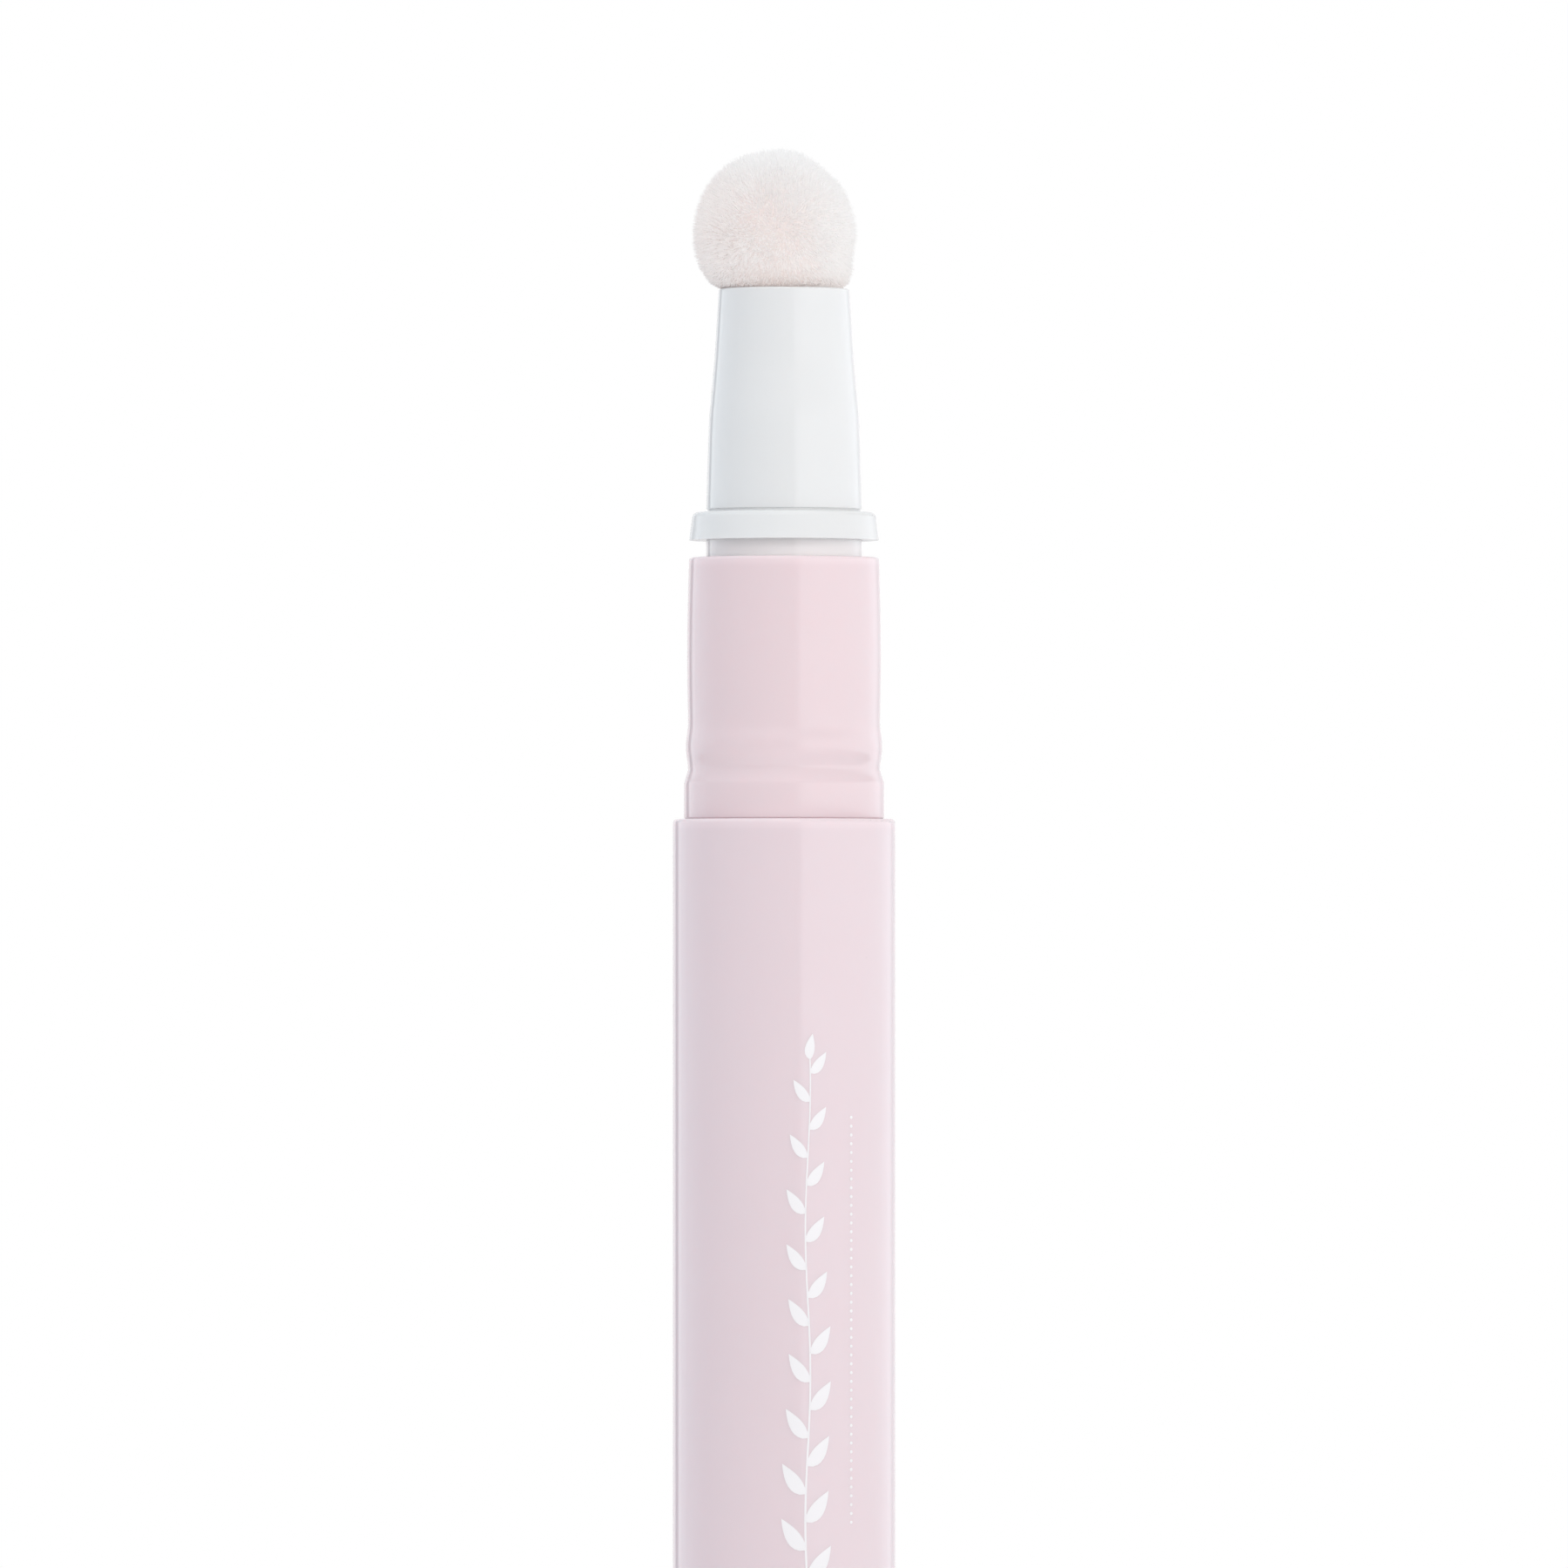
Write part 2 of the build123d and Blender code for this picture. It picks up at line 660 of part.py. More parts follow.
# ---- Drive sleeve: joined to the knob by splines and carried by the bearing ring. Its bore
# has two flats that turn the spindle's tail, along the whole stroke. ----
with BuildPart() as drive_sleeve:
    with BuildSketch(level(sleeve_bottom)):
        Circle(sleeve_r)
    extrude(amount=sleeve_top - sleeve_bottom)
    with BuildSketch(level(shoulder_bottom)):
        Circle(sleeve_r + sleeve_shoulder_reach)
    extrude(amount=sleeve_shoulder)
    with BuildSketch(level(shoulder_top)):
        add(
            ribs(sleeve_r - sleeve_wall / 2, sleeve_r + sleeve_key_reach, sleeve_key_width, 2),
            rotation=90,
        )
    extrude(amount=click_thickness)
    with BuildSketch(level(hub_bottom)):
        add(ribs(sleeve_r - sleeve_wall / 2, sleeve_r + spline_reach, spline_width, spline_count))
    extrude(amount=web_bottom - hub_bottom)
    with BuildSketch(level(sleeve_bottom)):
        add(double_d(sleeve_bore_r, tail_flat + run_gap))
    extrude(amount=sleeve_top - sleeve_bottom, mode=Mode.SUBTRACT)
drive_sleeve.part.label = "drive_sleeve"

# ---- Bearing ring: a split ring that snaps into the barrel's mouth. The drive sleeve turns
# in it, and its shoulder can't be pulled out through it. ----
with BuildPart() as bearing_ring:
    with BuildSketch(level(bearing_bottom)):
        Circle(core_r)
    extrude(amount=bearing_length)
    with BuildSketch(level(bearing_snap_z)):
        Circle(core_r + snap_height)
    extrude(amount=snap_width / 2, both=True)
    with BuildSketch(level(bearing_bottom)):
        Circle(sleeve_r + run_gap)
        with Locations((barrel_r / 2, 0)):
            Rectangle(barrel_r, bearing_split)
    extrude(amount=bearing_length, mode=Mode.SUBTRACT)
bearing_ring.part.label = "bearing_ring"

# ---- Twist knob: the pen's turning tail. A web and ribs carry a splined hub, and a lip runs
# inside the barrel's mouth, so that nothing shows through the parting line. ----
with BuildPart() as twist_knob:
    lip_r = bore_r - run_gap
    with BuildSketch():
        Circle(barrel_r)
    extrude(amount=knob_length)
    fillet(twist_knob.edges().group_by(Axis.Z)[0], knob_tail_round)
    fillet(twist_knob.edges().group_by(Axis.Z)[-1], parting_round)
    with BuildSketch(level(knob_length)):
        add(tube(lip_r, lip_r - lip_wall))
    extrude(amount=lip_height)
    with BuildSketch():
        Circle(knob_bore_r)
    extrude(amount=web_bottom, mode=Mode.SUBTRACT)
    with BuildSketch(level(hub_bottom)):
        Circle(hub_r)
        add(ribs(sleeve_r, knob_bore_r + knob_wall / 2, knob_rib_width, knob_rib_count))
    extrude(amount=web_bottom - hub_bottom)
    with BuildSketch(level(hub_bottom)):
        Circle(sleeve_r + press_gap)
    extrude(amount=knob_length - hub_bottom, mode=Mode.SUBTRACT)
    with BuildSketch(level(hub_bottom)):
        add(
            ribs(
                sleeve_r - sleeve_wall / 2,
                sleeve_r + spline_reach + press_gap,
                spline_width + 2 * press_gap,
                spline_count,
            )
        )
    extrude(amount=web_bottom - hub_bottom, mode=Mode.SUBTRACT)
    with BuildSketch(level(plug_snap_z)):
        add(tube(knob_bore_r + snap_height, knob_bore_r - knob_wall / 2))
    extrude(amount=snap_width / 2 + press_gap, both=True, mode=Mode.SUBTRACT)
twist_knob.part.label = "twist_knob"

# ---- Knob end plug: a cup that snaps into the knob's open tail and stays just inside it. ----
with BuildPart() as knob_end_plug:
    plug_r = knob_bore_r - press_gap
    with BuildSketch(level(plug_recess)):
        Circle(plug_r)
    extrude(amount=plug_top - plug_recess)
    with BuildSketch(level(plug_snap_z)):
        Circle(plug_r + snap_height)
    extrude(amount=snap_width / 2, both=True)
    with BuildSketch(level(plug_floor_top)):
        Circle(plug_r - plug_skirt_wall)
    extrude(amount=plug_skirt_height, mode=Mode.SUBTRACT)
knob_end_plug.part.label = "knob_end_plug"

# ---- One file for each piece ----
os.makedirs("parts", exist_ok=True)
pieces = [
    flocked_tip,
    tip_core,
    applicator_ferrule,
    seal_ring,
    feed_tube,
    orifice_plug,
    neck_o_ring,
    cap_collar,
    barrel_sleeve,
    reservoir_tube,
    piston,
    spindle,
    spindle_nut,
    mechanism_housing,
    ratchet_ring,
    click_ring,
    drive_sleeve,
    bearing_ring,
    twist_knob,
    knob_end_plug,
]
for piece in pieces:
    export_step(piece.part, f"parts/{piece.part.label}.step")
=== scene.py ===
import math
import random

import bmesh
import bpy
from mathutils import Matrix, Vector, noise


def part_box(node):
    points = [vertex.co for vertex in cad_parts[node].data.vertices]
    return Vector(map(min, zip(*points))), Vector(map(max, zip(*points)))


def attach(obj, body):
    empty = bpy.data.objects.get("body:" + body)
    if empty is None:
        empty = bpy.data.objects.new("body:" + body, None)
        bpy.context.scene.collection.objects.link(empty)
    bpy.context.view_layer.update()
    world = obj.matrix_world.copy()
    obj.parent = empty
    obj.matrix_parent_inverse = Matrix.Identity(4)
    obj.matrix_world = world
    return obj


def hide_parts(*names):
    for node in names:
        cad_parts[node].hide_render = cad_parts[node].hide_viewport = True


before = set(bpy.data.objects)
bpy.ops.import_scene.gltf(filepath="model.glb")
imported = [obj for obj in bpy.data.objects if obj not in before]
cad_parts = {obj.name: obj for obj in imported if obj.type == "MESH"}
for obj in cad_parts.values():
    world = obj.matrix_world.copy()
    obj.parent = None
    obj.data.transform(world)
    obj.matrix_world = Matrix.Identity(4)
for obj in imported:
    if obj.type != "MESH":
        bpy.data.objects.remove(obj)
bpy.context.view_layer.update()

# A twist pen for nail oil, standing tip up on its knob. The solids come from the frame. This
# script gives each of them its finish, turns the collar again to its measured outline, and
# adds the flock, the thread and the print.

# ---- Barrel sleeve ----
# The pen's body: an injection moulded pink tube with a polished outside. It was pushed off a long
# core pin, so its gloss is faintly streaked, and light glows through its thin mouth, as a painted
# glow below the rim.
mm = 0.001


def effect(name, inputs, outputs):
    """An empty node group with named inputs and outputs, and its two end nodes."""
    group = bpy.data.node_groups.new(name, "ShaderNodeTree")
    for label, value in inputs.items():
        socket = group.interface.new_socket(label, in_out="INPUT", socket_type="NodeSocketFloat")
        socket.default_value = value
    for label in outputs:
        group.interface.new_socket(label, in_out="OUTPUT", socket_type="NodeSocketFloat")
    return group, group.nodes.new("NodeGroupInput"), group.nodes.new("NodeGroupOutput")


def worked(tree, operation, first, second=0.0, third=0.0):
    """The result of one Math node. Each term is a number or another node's output."""
    node = tree.nodes.new("ShaderNodeMath")
    node.operation = operation
    for socket, term in zip(node.inputs, (first, second, third)):
        if isinstance(term, bpy.types.NodeSocket):
            tree.links.new(term, socket)
        else:
            socket.default_value = term
    return node.outputs[0]


def eased(tree, value, start, end):
    """0 before start, 1 after end, and a soft step between them."""
    node = tree.nodes.new("ShaderNodeMapRange")
    node.interpolation_type = "SMOOTHSTEP"
    for label, term in (("Value", value), ("From Min", start), ("From Max", end)):
        if isinstance(term, bpy.types.NodeSocket):
            tree.links.new(term, node.inputs[label])
        else:
            node.inputs[label].default_value = term
    return node.outputs["Result"]


def blended(tree, factor, first, second):
    """Two colours mixed by a factor. Each is a colour or another node's output."""
    node = tree.nodes.new("ShaderNodeMix")
    node.data_type = "RGBA"
    mix, start, end = node.inputs[0], node.inputs[6], node.inputs[7]
    tree.links.new(factor, mix)
    for socket, colour in ((start, first), (end, second)):
        if isinstance(colour, bpy.types.NodeSocket):
            tree.links.new(colour, socket)
        else:
            socket.default_value = (*colour, 1)
    return node.outputs[2]


def place_on_piece(tree, stretch=(1, 1, 1)):
    """Where a point is on its piece, in millimetres, squeezed along an axis if need be."""
    coordinates = tree.nodes.new("ShaderNodeTexCoord")
    mapping = tree.nodes.new("ShaderNodeMapping")
    mapping.inputs["Scale"].default_value = [part / mm for part in stretch]
    tree.links.new(coordinates.outputs["Object"], mapping.inputs["Vector"])
    return mapping.outputs["Vector"]


def along_axes(tree, vector):
    """A vector's X, Y and Z, each by itself."""
    node = tree.nodes.new("ShaderNodeSeparateXYZ")
    tree.links.new(vector, node.inputs["Vector"])
    return node.outputs


def cloud(tree, place, size, detail=2.0):
    """Soft noise from 0 to 1, with patches of about this size in millimetres."""
    node = tree.nodes.new("ShaderNodeTexNoise")
    node.inputs["Detail"].default_value = detail
    tree.links.new(place, node.inputs["Vector"])
    tree.links.new(worked(tree, "DIVIDE", 1.0, size), node.inputs["Scale"])
    return node.outputs["Fac"]


# The skin that a polished mould leaves: slow ripples, and streaks along the way it ejects.
along_the_pen = (1, 1, 0.03)
mould_skin, skin_in, skin_out = effect(
    "mould_skin", {"Ripple Size": 1.6, "Streak Width": 0.5}, ["Ripple", "Streaks"]
)
skin_place = place_on_piece(mould_skin)
ripple = cloud(mould_skin, skin_place, skin_in.outputs["Ripple Size"], detail=1.0)
streak_place = place_on_piece(mould_skin, along_the_pen)
streaks = cloud(mould_skin, streak_place, skin_in.outputs["Streak Width"])
mould_skin.links.new(ripple, skin_out.inputs["Ripple"])
mould_skin.links.new(streaks, skin_out.inputs["Streaks"])

# What handling leaves: hairline scratches, broken off in places, and a few specks of lint.
hairline = 0.004  # it shows where the noise is this near to its middle
break_size, break_start = 0.6, 0.8  # shares of the mark's size, and of what is unmarked
lint_scale = 0.4  # cells to the millimetre, each with one speck at the most
speck_edge, speck_core = 0.02, 0.01
handling, handling_in, handling_out = effect(
    "handling_marks", {"Mark Size": 4.0, "Coverage": 0.3}, ["Hairlines", "Specks"]
)
mark_size, coverage = handling_in.outputs["Mark Size"], handling_in.outputs["Coverage"]
handled_place = place_on_piece(handling)
wander = cloud(handling, handled_place, mark_size, detail=3.0)
off_line = worked(handling, "ABSOLUTE", worked(handling, "SUBTRACT", wander, 0.5))
line = eased(handling, off_line, hairline, 0.0)
patch_size = worked(handling, "MULTIPLY", mark_size, break_size)
patches = cloud(handling, handled_place, patch_size, detail=1.0)
unmarked = worked(handling, "SUBTRACT", 1.0, coverage)
broken = eased(handling, patches, worked(handling, "MULTIPLY", unmarked, break_start), unmarked)
handling.links.new(worked(handling, "MULTIPLY", line, broken), handling_out.inputs["Hairlines"])
lint = handling.nodes.new("ShaderNodeTexVoronoi")
lint.inputs["Scale"].default_value = lint_scale
handling.links.new(handled_place, lint.inputs["Vector"])
cell_colour = handling.nodes.new("ShaderNodeSeparateColor")
handling.links.new(lint.outputs["Color"], cell_colour.inputs["Color"])
chosen = worked(handling, "LESS_THAN", cell_colour.outputs["Red"], coverage)
speck = eased(handling, lint.outputs["Distance"], speck_edge, speck_core)
handling.links.new(worked(handling, "MULTIPLY", speck, chosen), handling_out.inputs["Specks"])

# Painted light: a paler colour for light that comes through a thin wall, strongest at a rim and
# gone a little below it.
rim_glow, glow_in, glow_out = effect("rim_glow", {"Rim Height": 94.0, "Depth": 0.8}, ["Glow"])
glow_height = along_axes(rim_glow, place_on_piece(rim_glow))["Z"]
glow_end = glow_in.outputs["Rim Height"]
glow_start = worked(rim_glow, "SUBTRACT", glow_end, glow_in.outputs["Depth"])
rim_glow.links.new(eased(rim_glow, glow_height, glow_start, glow_end), glow_out.inputs["Glow"])


def placed(tree, group, **values):
    """A node group set in a material with its own values."""
    node = tree.nodes.new("ShaderNodeGroup")
    node.node_tree = group
    for label, value in values.items():
        node.inputs[label.replace("_", " ")].default_value = value
    return node.outputs


tone_size = 9.0  # mm, of the slow drift between a plastic's two tones
lint_grey, lint_strength = (0.45, 0.42, 0.42), 0.35
streak_dulls, hairline_dulls = 0.05, 0.12  # what they add to the roughness
streak_height, hairline_depth = 0.15, 0.15  # where the ripples' height is 1


def moulded(name, colour, deeper, gloss, peel, marks, **plain):
    """A moulded plastic: clouded between two colours, with the skin and marks above."""
    material = bpy.data.materials.new(name)
    material.use_nodes = True
    tree = material.node_tree
    shader = tree.nodes["Principled BSDF"]
    for label, value in plain.items():
        shader.inputs[label.replace("_", " ")].default_value = value
    skin = placed(tree, mould_skin)
    worn = placed(tree, handling, Coverage=marks)
    shade = blended(tree, cloud(tree, place_on_piece(tree), tone_size), colour, deeper)
    dust = worked(tree, "MULTIPLY", worn["Specks"], lint_strength)
    tree.links.new(blended(tree, dust, shade, lint_grey), shader.inputs["Base Color"])
    even = gloss - streak_dulls / 2
    rough = worked(tree, "MULTIPLY_ADD", skin["Streaks"], streak_dulls, even)
    rough = worked(tree, "MULTIPLY_ADD", worn["Hairlines"], hairline_dulls, rough)
    tree.links.new(rough, shader.inputs["Roughness"])
    height = worked(tree, "MULTIPLY_ADD", skin["Streaks"], streak_height, skin["Ripple"])
    height = worked(tree, "MULTIPLY_ADD", worn["Hairlines"], -hairline_depth, height)
    bump = tree.nodes.new("ShaderNodeBump")
    bump.inputs["Distance"].default_value = peel * mm
    tree.links.new(height, bump.inputs["Height"])
    tree.links.new(bump.outputs["Normal"], shader.inputs["Normal"])
    return material


def tinted(material, factor, colour):
    """The material's colour turns towards another one, as far as the factor says."""
    tree = material.node_tree
    base = tree.nodes["Principled BSDF"].inputs["Base Color"]
    tree.links.new(blended(tree, factor, base.links[0].from_socket, colour), base)


def glowing(material, rim_height, depth, strength, colour):
    """The material's colour is painted paler below its rim, for the light that comes through the
    thin wall.
    """
    tree = material.node_tree
    glow = placed(tree, rim_glow, Rim_Height=rim_height / mm, Depth=depth)["Glow"]
    tinted(material, worked(tree, "MULTIPLY", glow, strength), colour)


def finished(node, material):
    """The piece's own solid gets this material."""
    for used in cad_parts[node].material_slots:
        used.material = material


body_pink = {
    "colour": (0.812, 0.683, 0.716),
    "deeper": (0.798, 0.667, 0.701),
    "Subsurface_Weight": 0.25,
    "Subsurface_Radius": (1.0, 0.7, 0.7),
    "Subsurface_Scale": 0.6 * mm,
}
barrel_pink = moulded("barrel_pink", gloss=0.075, peel=0.004, marks=0.3, **body_pink)
barrel_r, barrel_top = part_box("barrel_sleeve")[1].xz
# Painted glow: the colour turns paler towards the barrel's rim.
glowing(barrel_pink, barrel_top, depth=0.9, strength=0.5, colour=(0.93, 0.79, 0.82))
finished("barrel_sleeve", barrel_pink)

# ---- Barrel print ----
# A pad print in one white ink: a plain sprig up the front of the barrel, and a row of dots
# beside it. The film is a few hundredths of a millimetre thick and follows the curve.
ink_film, ink_proud = 0.03 * mm, 0.016 * mm
sprig_foot, sprig_top = 30.0 * mm, 79.0 * mm
sprig_line = 1.5 * mm  # how far round the barrel from its front the stem runs
sway, sway_length = 0.16 * mm, 2.9 * mm
stem_width, stem_taper = 0.16 * mm, 0.08 * mm
leaf_pitch = 1.75 * mm
leaf_count = int((sprig_top - sprig_foot) / leaf_pitch)
lowest_leaf, highest_leaf = sprig_foot + 0.8 * mm, sprig_top - 0.1 * mm
leaf_length, leaf_shrink = 2.9 * mm, 1.3 * mm
leaf_opening, last_opening = 52, 8  # degrees off the stem, which the last leaf ends
leaf_width, leaf_bend = 0.4, 0.25  # shares of its length
leaf_belly, leaf_blunt = 0.8, 0.9
dot_line, dot_foot = 4.5 * mm, 50.0 * mm
dot_count, dot_pitch, dot_r = 47, 0.55 * mm, 0.1 * mm
same_place = 0.002 * mm


def sprig_sway(z):
    """How far round the barrel the stem is at a height."""
    return sprig_line + sway * math.sin(z / sway_length)


ink = bmesh.new()
stem = bmesh.ops.create_grid(ink, x_segments=1, y_segments=120, size=0.5)["verts"]
for v in stem:
    up = v.co.y + 0.5
    stem_z = sprig_foot + (sprig_top - sprig_foot) * up
    v.co = Vector((sprig_sway(stem_z) + v.co.x * (stem_width - stem_taper * up), stem_z, 0))

for leaf in range(leaf_count + 1):
    node_z = min(lowest_leaf + leaf * leaf_pitch, highest_leaf)
    side = 1 if leaf % 2 else -1
    opening = math.radians(leaf_opening if leaf < leaf_count else last_opening)
    lean = Matrix.Rotation(-side * opening, 3, "Z")
    length = leaf_length - leaf_shrink * leaf / leaf_count
    for v in bmesh.ops.create_grid(ink, x_segments=4, y_segments=8, size=0.5)["verts"]:
        along = v.co.y + 0.5
        wide = 0
        if 0 < along < 1:
            wide = leaf_width * length * math.sin(math.pi * along ** leaf_belly) ** leaf_blunt
        bend = leaf_bend * length * along * along
        flat = Vector((-side * (v.co.x * wide + bend), length * along, 0))
        v.co = lean @ flat + Vector((sprig_sway(node_z), node_z, 0))

for dot in range(dot_count):
    dot_place = Matrix.Translation((dot_line, dot_foot + dot * dot_pitch, 0))
    bmesh.ops.create_circle(ink, cap_ends=True, segments=12, radius=dot_r, matrix=dot_place)

bmesh.ops.remove_doubles(ink, verts=ink.verts, dist=same_place)
bmesh.ops.recalc_face_normals(ink, faces=ink.faces)
for face in ink.faces:
    if face.normal.z < 0:
        face.normal_flip()
bmesh.ops.solidify(ink, geom=ink.faces[:], thickness=ink_film)
film_top = max(v.co.z for v in ink.verts)
for v in ink.verts:
    out = barrel_r + ink_proud + v.co.z - film_top
    turn = v.co.x / barrel_r
    v.co = Vector((out * math.sin(turn), -out * math.cos(turn), v.co.y))
bmesh.ops.recalc_face_normals(ink, faces=ink.faces)


def made(name, form, material, body):
    """A finished mesh as a piece of the pen, with its material, riding on its body."""
    mesh = bpy.data.meshes.new(name)
    form.to_mesh(mesh)
    form.free()
    mesh.materials.append(material)
    piece = bpy.data.objects.new(name, mesh)
    bpy.context.scene.collection.objects.link(piece)
    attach(piece, body)
    return piece


white_ink = moulded(
    "white_ink",
    colour=(0.93, 0.91, 0.92),
    deeper=(0.90, 0.87, 0.885),
    gloss=0.3,
    peel=0.003,
    marks=0.2,
)
made("barrel_print", ink, white_ink, "barrel")

# ---- Twist knob and end plug ----
# The turning tail end, moulded from the barrel's own pink. Its open end is closed by a cup
# that snaps in, in the same plastic with a plain dull face.
knob_pink = moulded("knob_pink", gloss=0.085, peel=0.005, marks=0.42, **body_pink)
plug_pink = moulded(
    "plug_pink",
    colour=(0.80, 0.675, 0.715),
    deeper=(0.785, 0.66, 0.70),
    gloss=0.34,
    peel=0.01,
    marks=0.35,
)
finished("twist_knob", knob_pink)
finished("knob_end_plug", plug_pink)

# ---- Cap collar ----
# The ring that the cap snaps over, a second pink moulding bonded into the barrel by its skirt.
# It is a shade warmer than the barrel, with a soft snap bead, and its thin top edge has a painted
# glow.
collar_low, collar_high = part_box("cap_collar")
foot_ring_r, collar_top = collar_high.xz
foot_ring_top = barrel_top + 2.28 * mm
waist_r, waist_z = foot_ring_r - 0.26 * mm, barrel_top + 3.07 * mm
bead_z, bead_half_width, bead_proud = barrel_top + 4.55 * mm, 1.55 * mm, 0.145 * mm
belly_z, belly_half_width, belly_proud = barrel_top + 9.8 * mm, 4.6 * mm, 0.06 * mm
skirt_r, skirt_bore_r = foot_ring_r - 0.35 * mm, foot_ring_r - 0.95 * mm
throat_r, throat_z = foot_ring_r - 1.345 * mm, barrel_top + 3.1 * mm  # it holds the ferrule down
top_edge, ring_edge = 0.15 * mm, 0.12 * mm
wall_steps = 44
touching = 0.01 * mm


def soft_step(share):
    """From 0 to 1 with a soft start and end, and held at them beyond."""
    share = min(max(share, 0), 1)
    return share * share * (3 - 2 * share)


def collar_wall_r(z):
    """The collar's radius above its waist: a rounded bead, then a long faint belly."""
    bead = (1 + math.cos(math.pi * min(abs(z - bead_z) / bead_half_width, 1))) / 2
    off_belly = abs(z - belly_z) / belly_half_width
    belly = 1 - (off_belly * off_belly if z > belly_z else soft_step(off_belly))
    return waist_r + bead_proud * bead + belly_proud * belly


def turned(form, outline, steps, closed=False):
    """Spin an outline of radius and height once round the pen, and close it on the axis."""
    corners = [form.verts.new((r, 0, z)) for r, z in outline]
    ends = corners[1:] + corners[:1] if closed else corners[1:]
    sides = [form.edges.new(pair) for pair in zip(corners, ends)]
    bmesh.ops.spin(
        form,
        geom=corners + sides,
        cent=(0, 0, 0),
        axis=(0, 0, 1),
        angle=2 * math.pi,
        steps=steps,
        use_merge=True,
    )
    on_axis = [v for v in form.verts if v.co.xy.length < touching]
    bmesh.ops.remove_doubles(form, verts=on_axis, dist=touching / 10)


def rounded(form, edges, offset, segments):
    """Round these edges off."""
    bmesh.ops.bevel(
        form,
        geom=edges,
        offset=offset,
        affect="EDGES",
        segments=segments,
        profile=0.5,
        material=-1,
        clamp_overlap=True,
    )


def smoothed(piece, sharpest):
    """Smooth shading, but across edges that turn by more degrees than this."""
    for face in piece.data.polygons:
        face.use_smooth = True
    piece.data.set_sharp_from_angle(angle=math.radians(sharpest))


collar = bmesh.new()
collar_outline = [(foot_ring_r, barrel_top), (foot_ring_r, foot_ring_top)]
for step in range(wall_steps + 1):
    wall_z = waist_z + (collar_top - waist_z) * step / wall_steps
    collar_outline.append((collar_wall_r(wall_z), wall_z))
collar_outline += [
    (throat_r, collar_top),
    (throat_r, throat_z),
    (skirt_bore_r, throat_z),
    (skirt_bore_r, collar_low.z),
    (skirt_r, collar_low.z),
    (skirt_r, barrel_top),
]
turned(collar, collar_outline, steps=160, closed=True)
bmesh.ops.recalc_face_normals(collar, faces=collar.faces)
for ring_r, ring_z, rounding in (
    (collar_wall_r(collar_top), collar_top, top_edge),
    (foot_ring_r, foot_ring_top, ring_edge),
    (foot_ring_r, barrel_top, ring_edge),
):
    rim = [
        edge
        for edge in collar.edges
        if all(abs(v.co.z - ring_z) + abs(v.co.xy.length - ring_r) < touching for v in edge.verts)
    ]
    rounded(collar, rim, rounding, segments=4)
collar_pink = moulded(
    "collar_pink",
    colour=(0.828, 0.680, 0.706),
    deeper=(0.815, 0.664, 0.691),
    gloss=0.085,
    peel=0.005,
    marks=0.3,
    Subsurface_Weight=0.3,
    Subsurface_Radius=(1.0, 0.7, 0.7),
    Subsurface_Scale=0.7 * mm,
)
# Painted glow: the colour turns paler towards the collar's top edge.
glowing(collar_pink, collar_top, depth=0.8, strength=0.45, colour=(0.94, 0.80, 0.83))
snap_collar = made("snap_collar", collar, collar_pink, "barrel")
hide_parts("cap_collar")
smoothed(snap_collar, sharpest=30)

# ---- Applicator ferrule ----
# The white holder under the ball, moulded in glossy polypropylene. Its bare neck, between collar
# and seal ring, is painted lighter and a little warm: painted light, for the light through it and
# the warmth off the pink below it.
ferrule_white = moulded(
    "ferrule_white",
    colour=(0.808, 0.808, 0.808),
    deeper=(0.796, 0.796, 0.797),
    gloss=0.075,
    peel=0.005,
    marks=0.22,
    Subsurface_Weight=0.3,
    Subsurface_Radius=(1.0, 0.92, 0.88),
    Subsurface_Scale=0.5 * mm,
)
ring_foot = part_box("seal_ring")[0].z / mm
ferrule_tree = ferrule_white.node_tree
ferrule_height = along_axes(ferrule_tree, place_on_piece(ferrule_tree))["Z"]
# Painted light: the neck is lighter and warmer, though it sits in the shade between collar and
# ring.
neck_painted_light = eased(ferrule_tree, ferrule_height, start=ring_foot + 0.3, end=ring_foot - 0.6)
tinted(ferrule_white, neck_painted_light, colour=(0.985, 0.955, 0.945))
finished("applicator_ferrule", ferrule_white)

# ---- Seal ring ----
# A softer white ring, moulded by itself and pressed down the shank. Its mould was polished
# less than the ferrule's, so it shines less.
ring_white = moulded(
    "ring_white",
    colour=(0.812, 0.813, 0.812),
    deeper=(0.800, 0.801, 0.800),
    gloss=0.2,
    peel=0.004,
    marks=0.2,
    Subsurface_Weight=0.3,
    Subsurface_Radius=(1.0, 0.95, 0.9),
    Subsurface_Scale=0.5 * mm,
)
finished("seal_ring", ring_white)

# ---- Flocked tip ----
# A ball of open-cell foam with a coat of short pale flock, pressed over the barbed core. Its
# fibres stand out all round, and its cut foot sits on the ferrule's rim.
pile, foot_pile = 0.58 * mm, 0.1 * mm  # the fibres' length, and what it is at the foot
full_pile_height = 1.6 * mm
root_depth = 0.02 * mm
ball_half_height = 5.49 * mm
foot_lean, ball_lean = -0.2 * mm, -0.62 * mm  # it was pushed on a little to one side
foot_lean_height, ball_lean_height = 0.15 * mm, 4.2 * mm
tuck_low, tuck_high = 0.1 * mm, 0.55 * mm  # between these heights its foot turns in
tuck_share = 0.07
lump_height, lumps, lump_pattern = 0.13 * mm, 2.1, Vector((3, 1, 7))
rim_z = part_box("applicator_ferrule")[1].z
ball_r, tip_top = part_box("flocked_tip")[1].xz
ball_middle = tip_top - ball_half_height


def up_to(height, z):
    """0 at the ferrule's rim, and 1 from this height above it."""
    return min(max((z - rim_z) / height, 0), 1)


def leaning(z):
    """How far to one side the ball's middle is at a height."""
    rise = up_to(ball_lean_height, z)
    lean = foot_lean + (ball_lean - foot_lean) * rise * (2 - rise)
    return lean * up_to(foot_lean_height, z)


def pile_at(z):
    """How long the fibres are at a height."""
    return foot_pile + (pile - foot_pile) * up_to(full_pile_height, z)


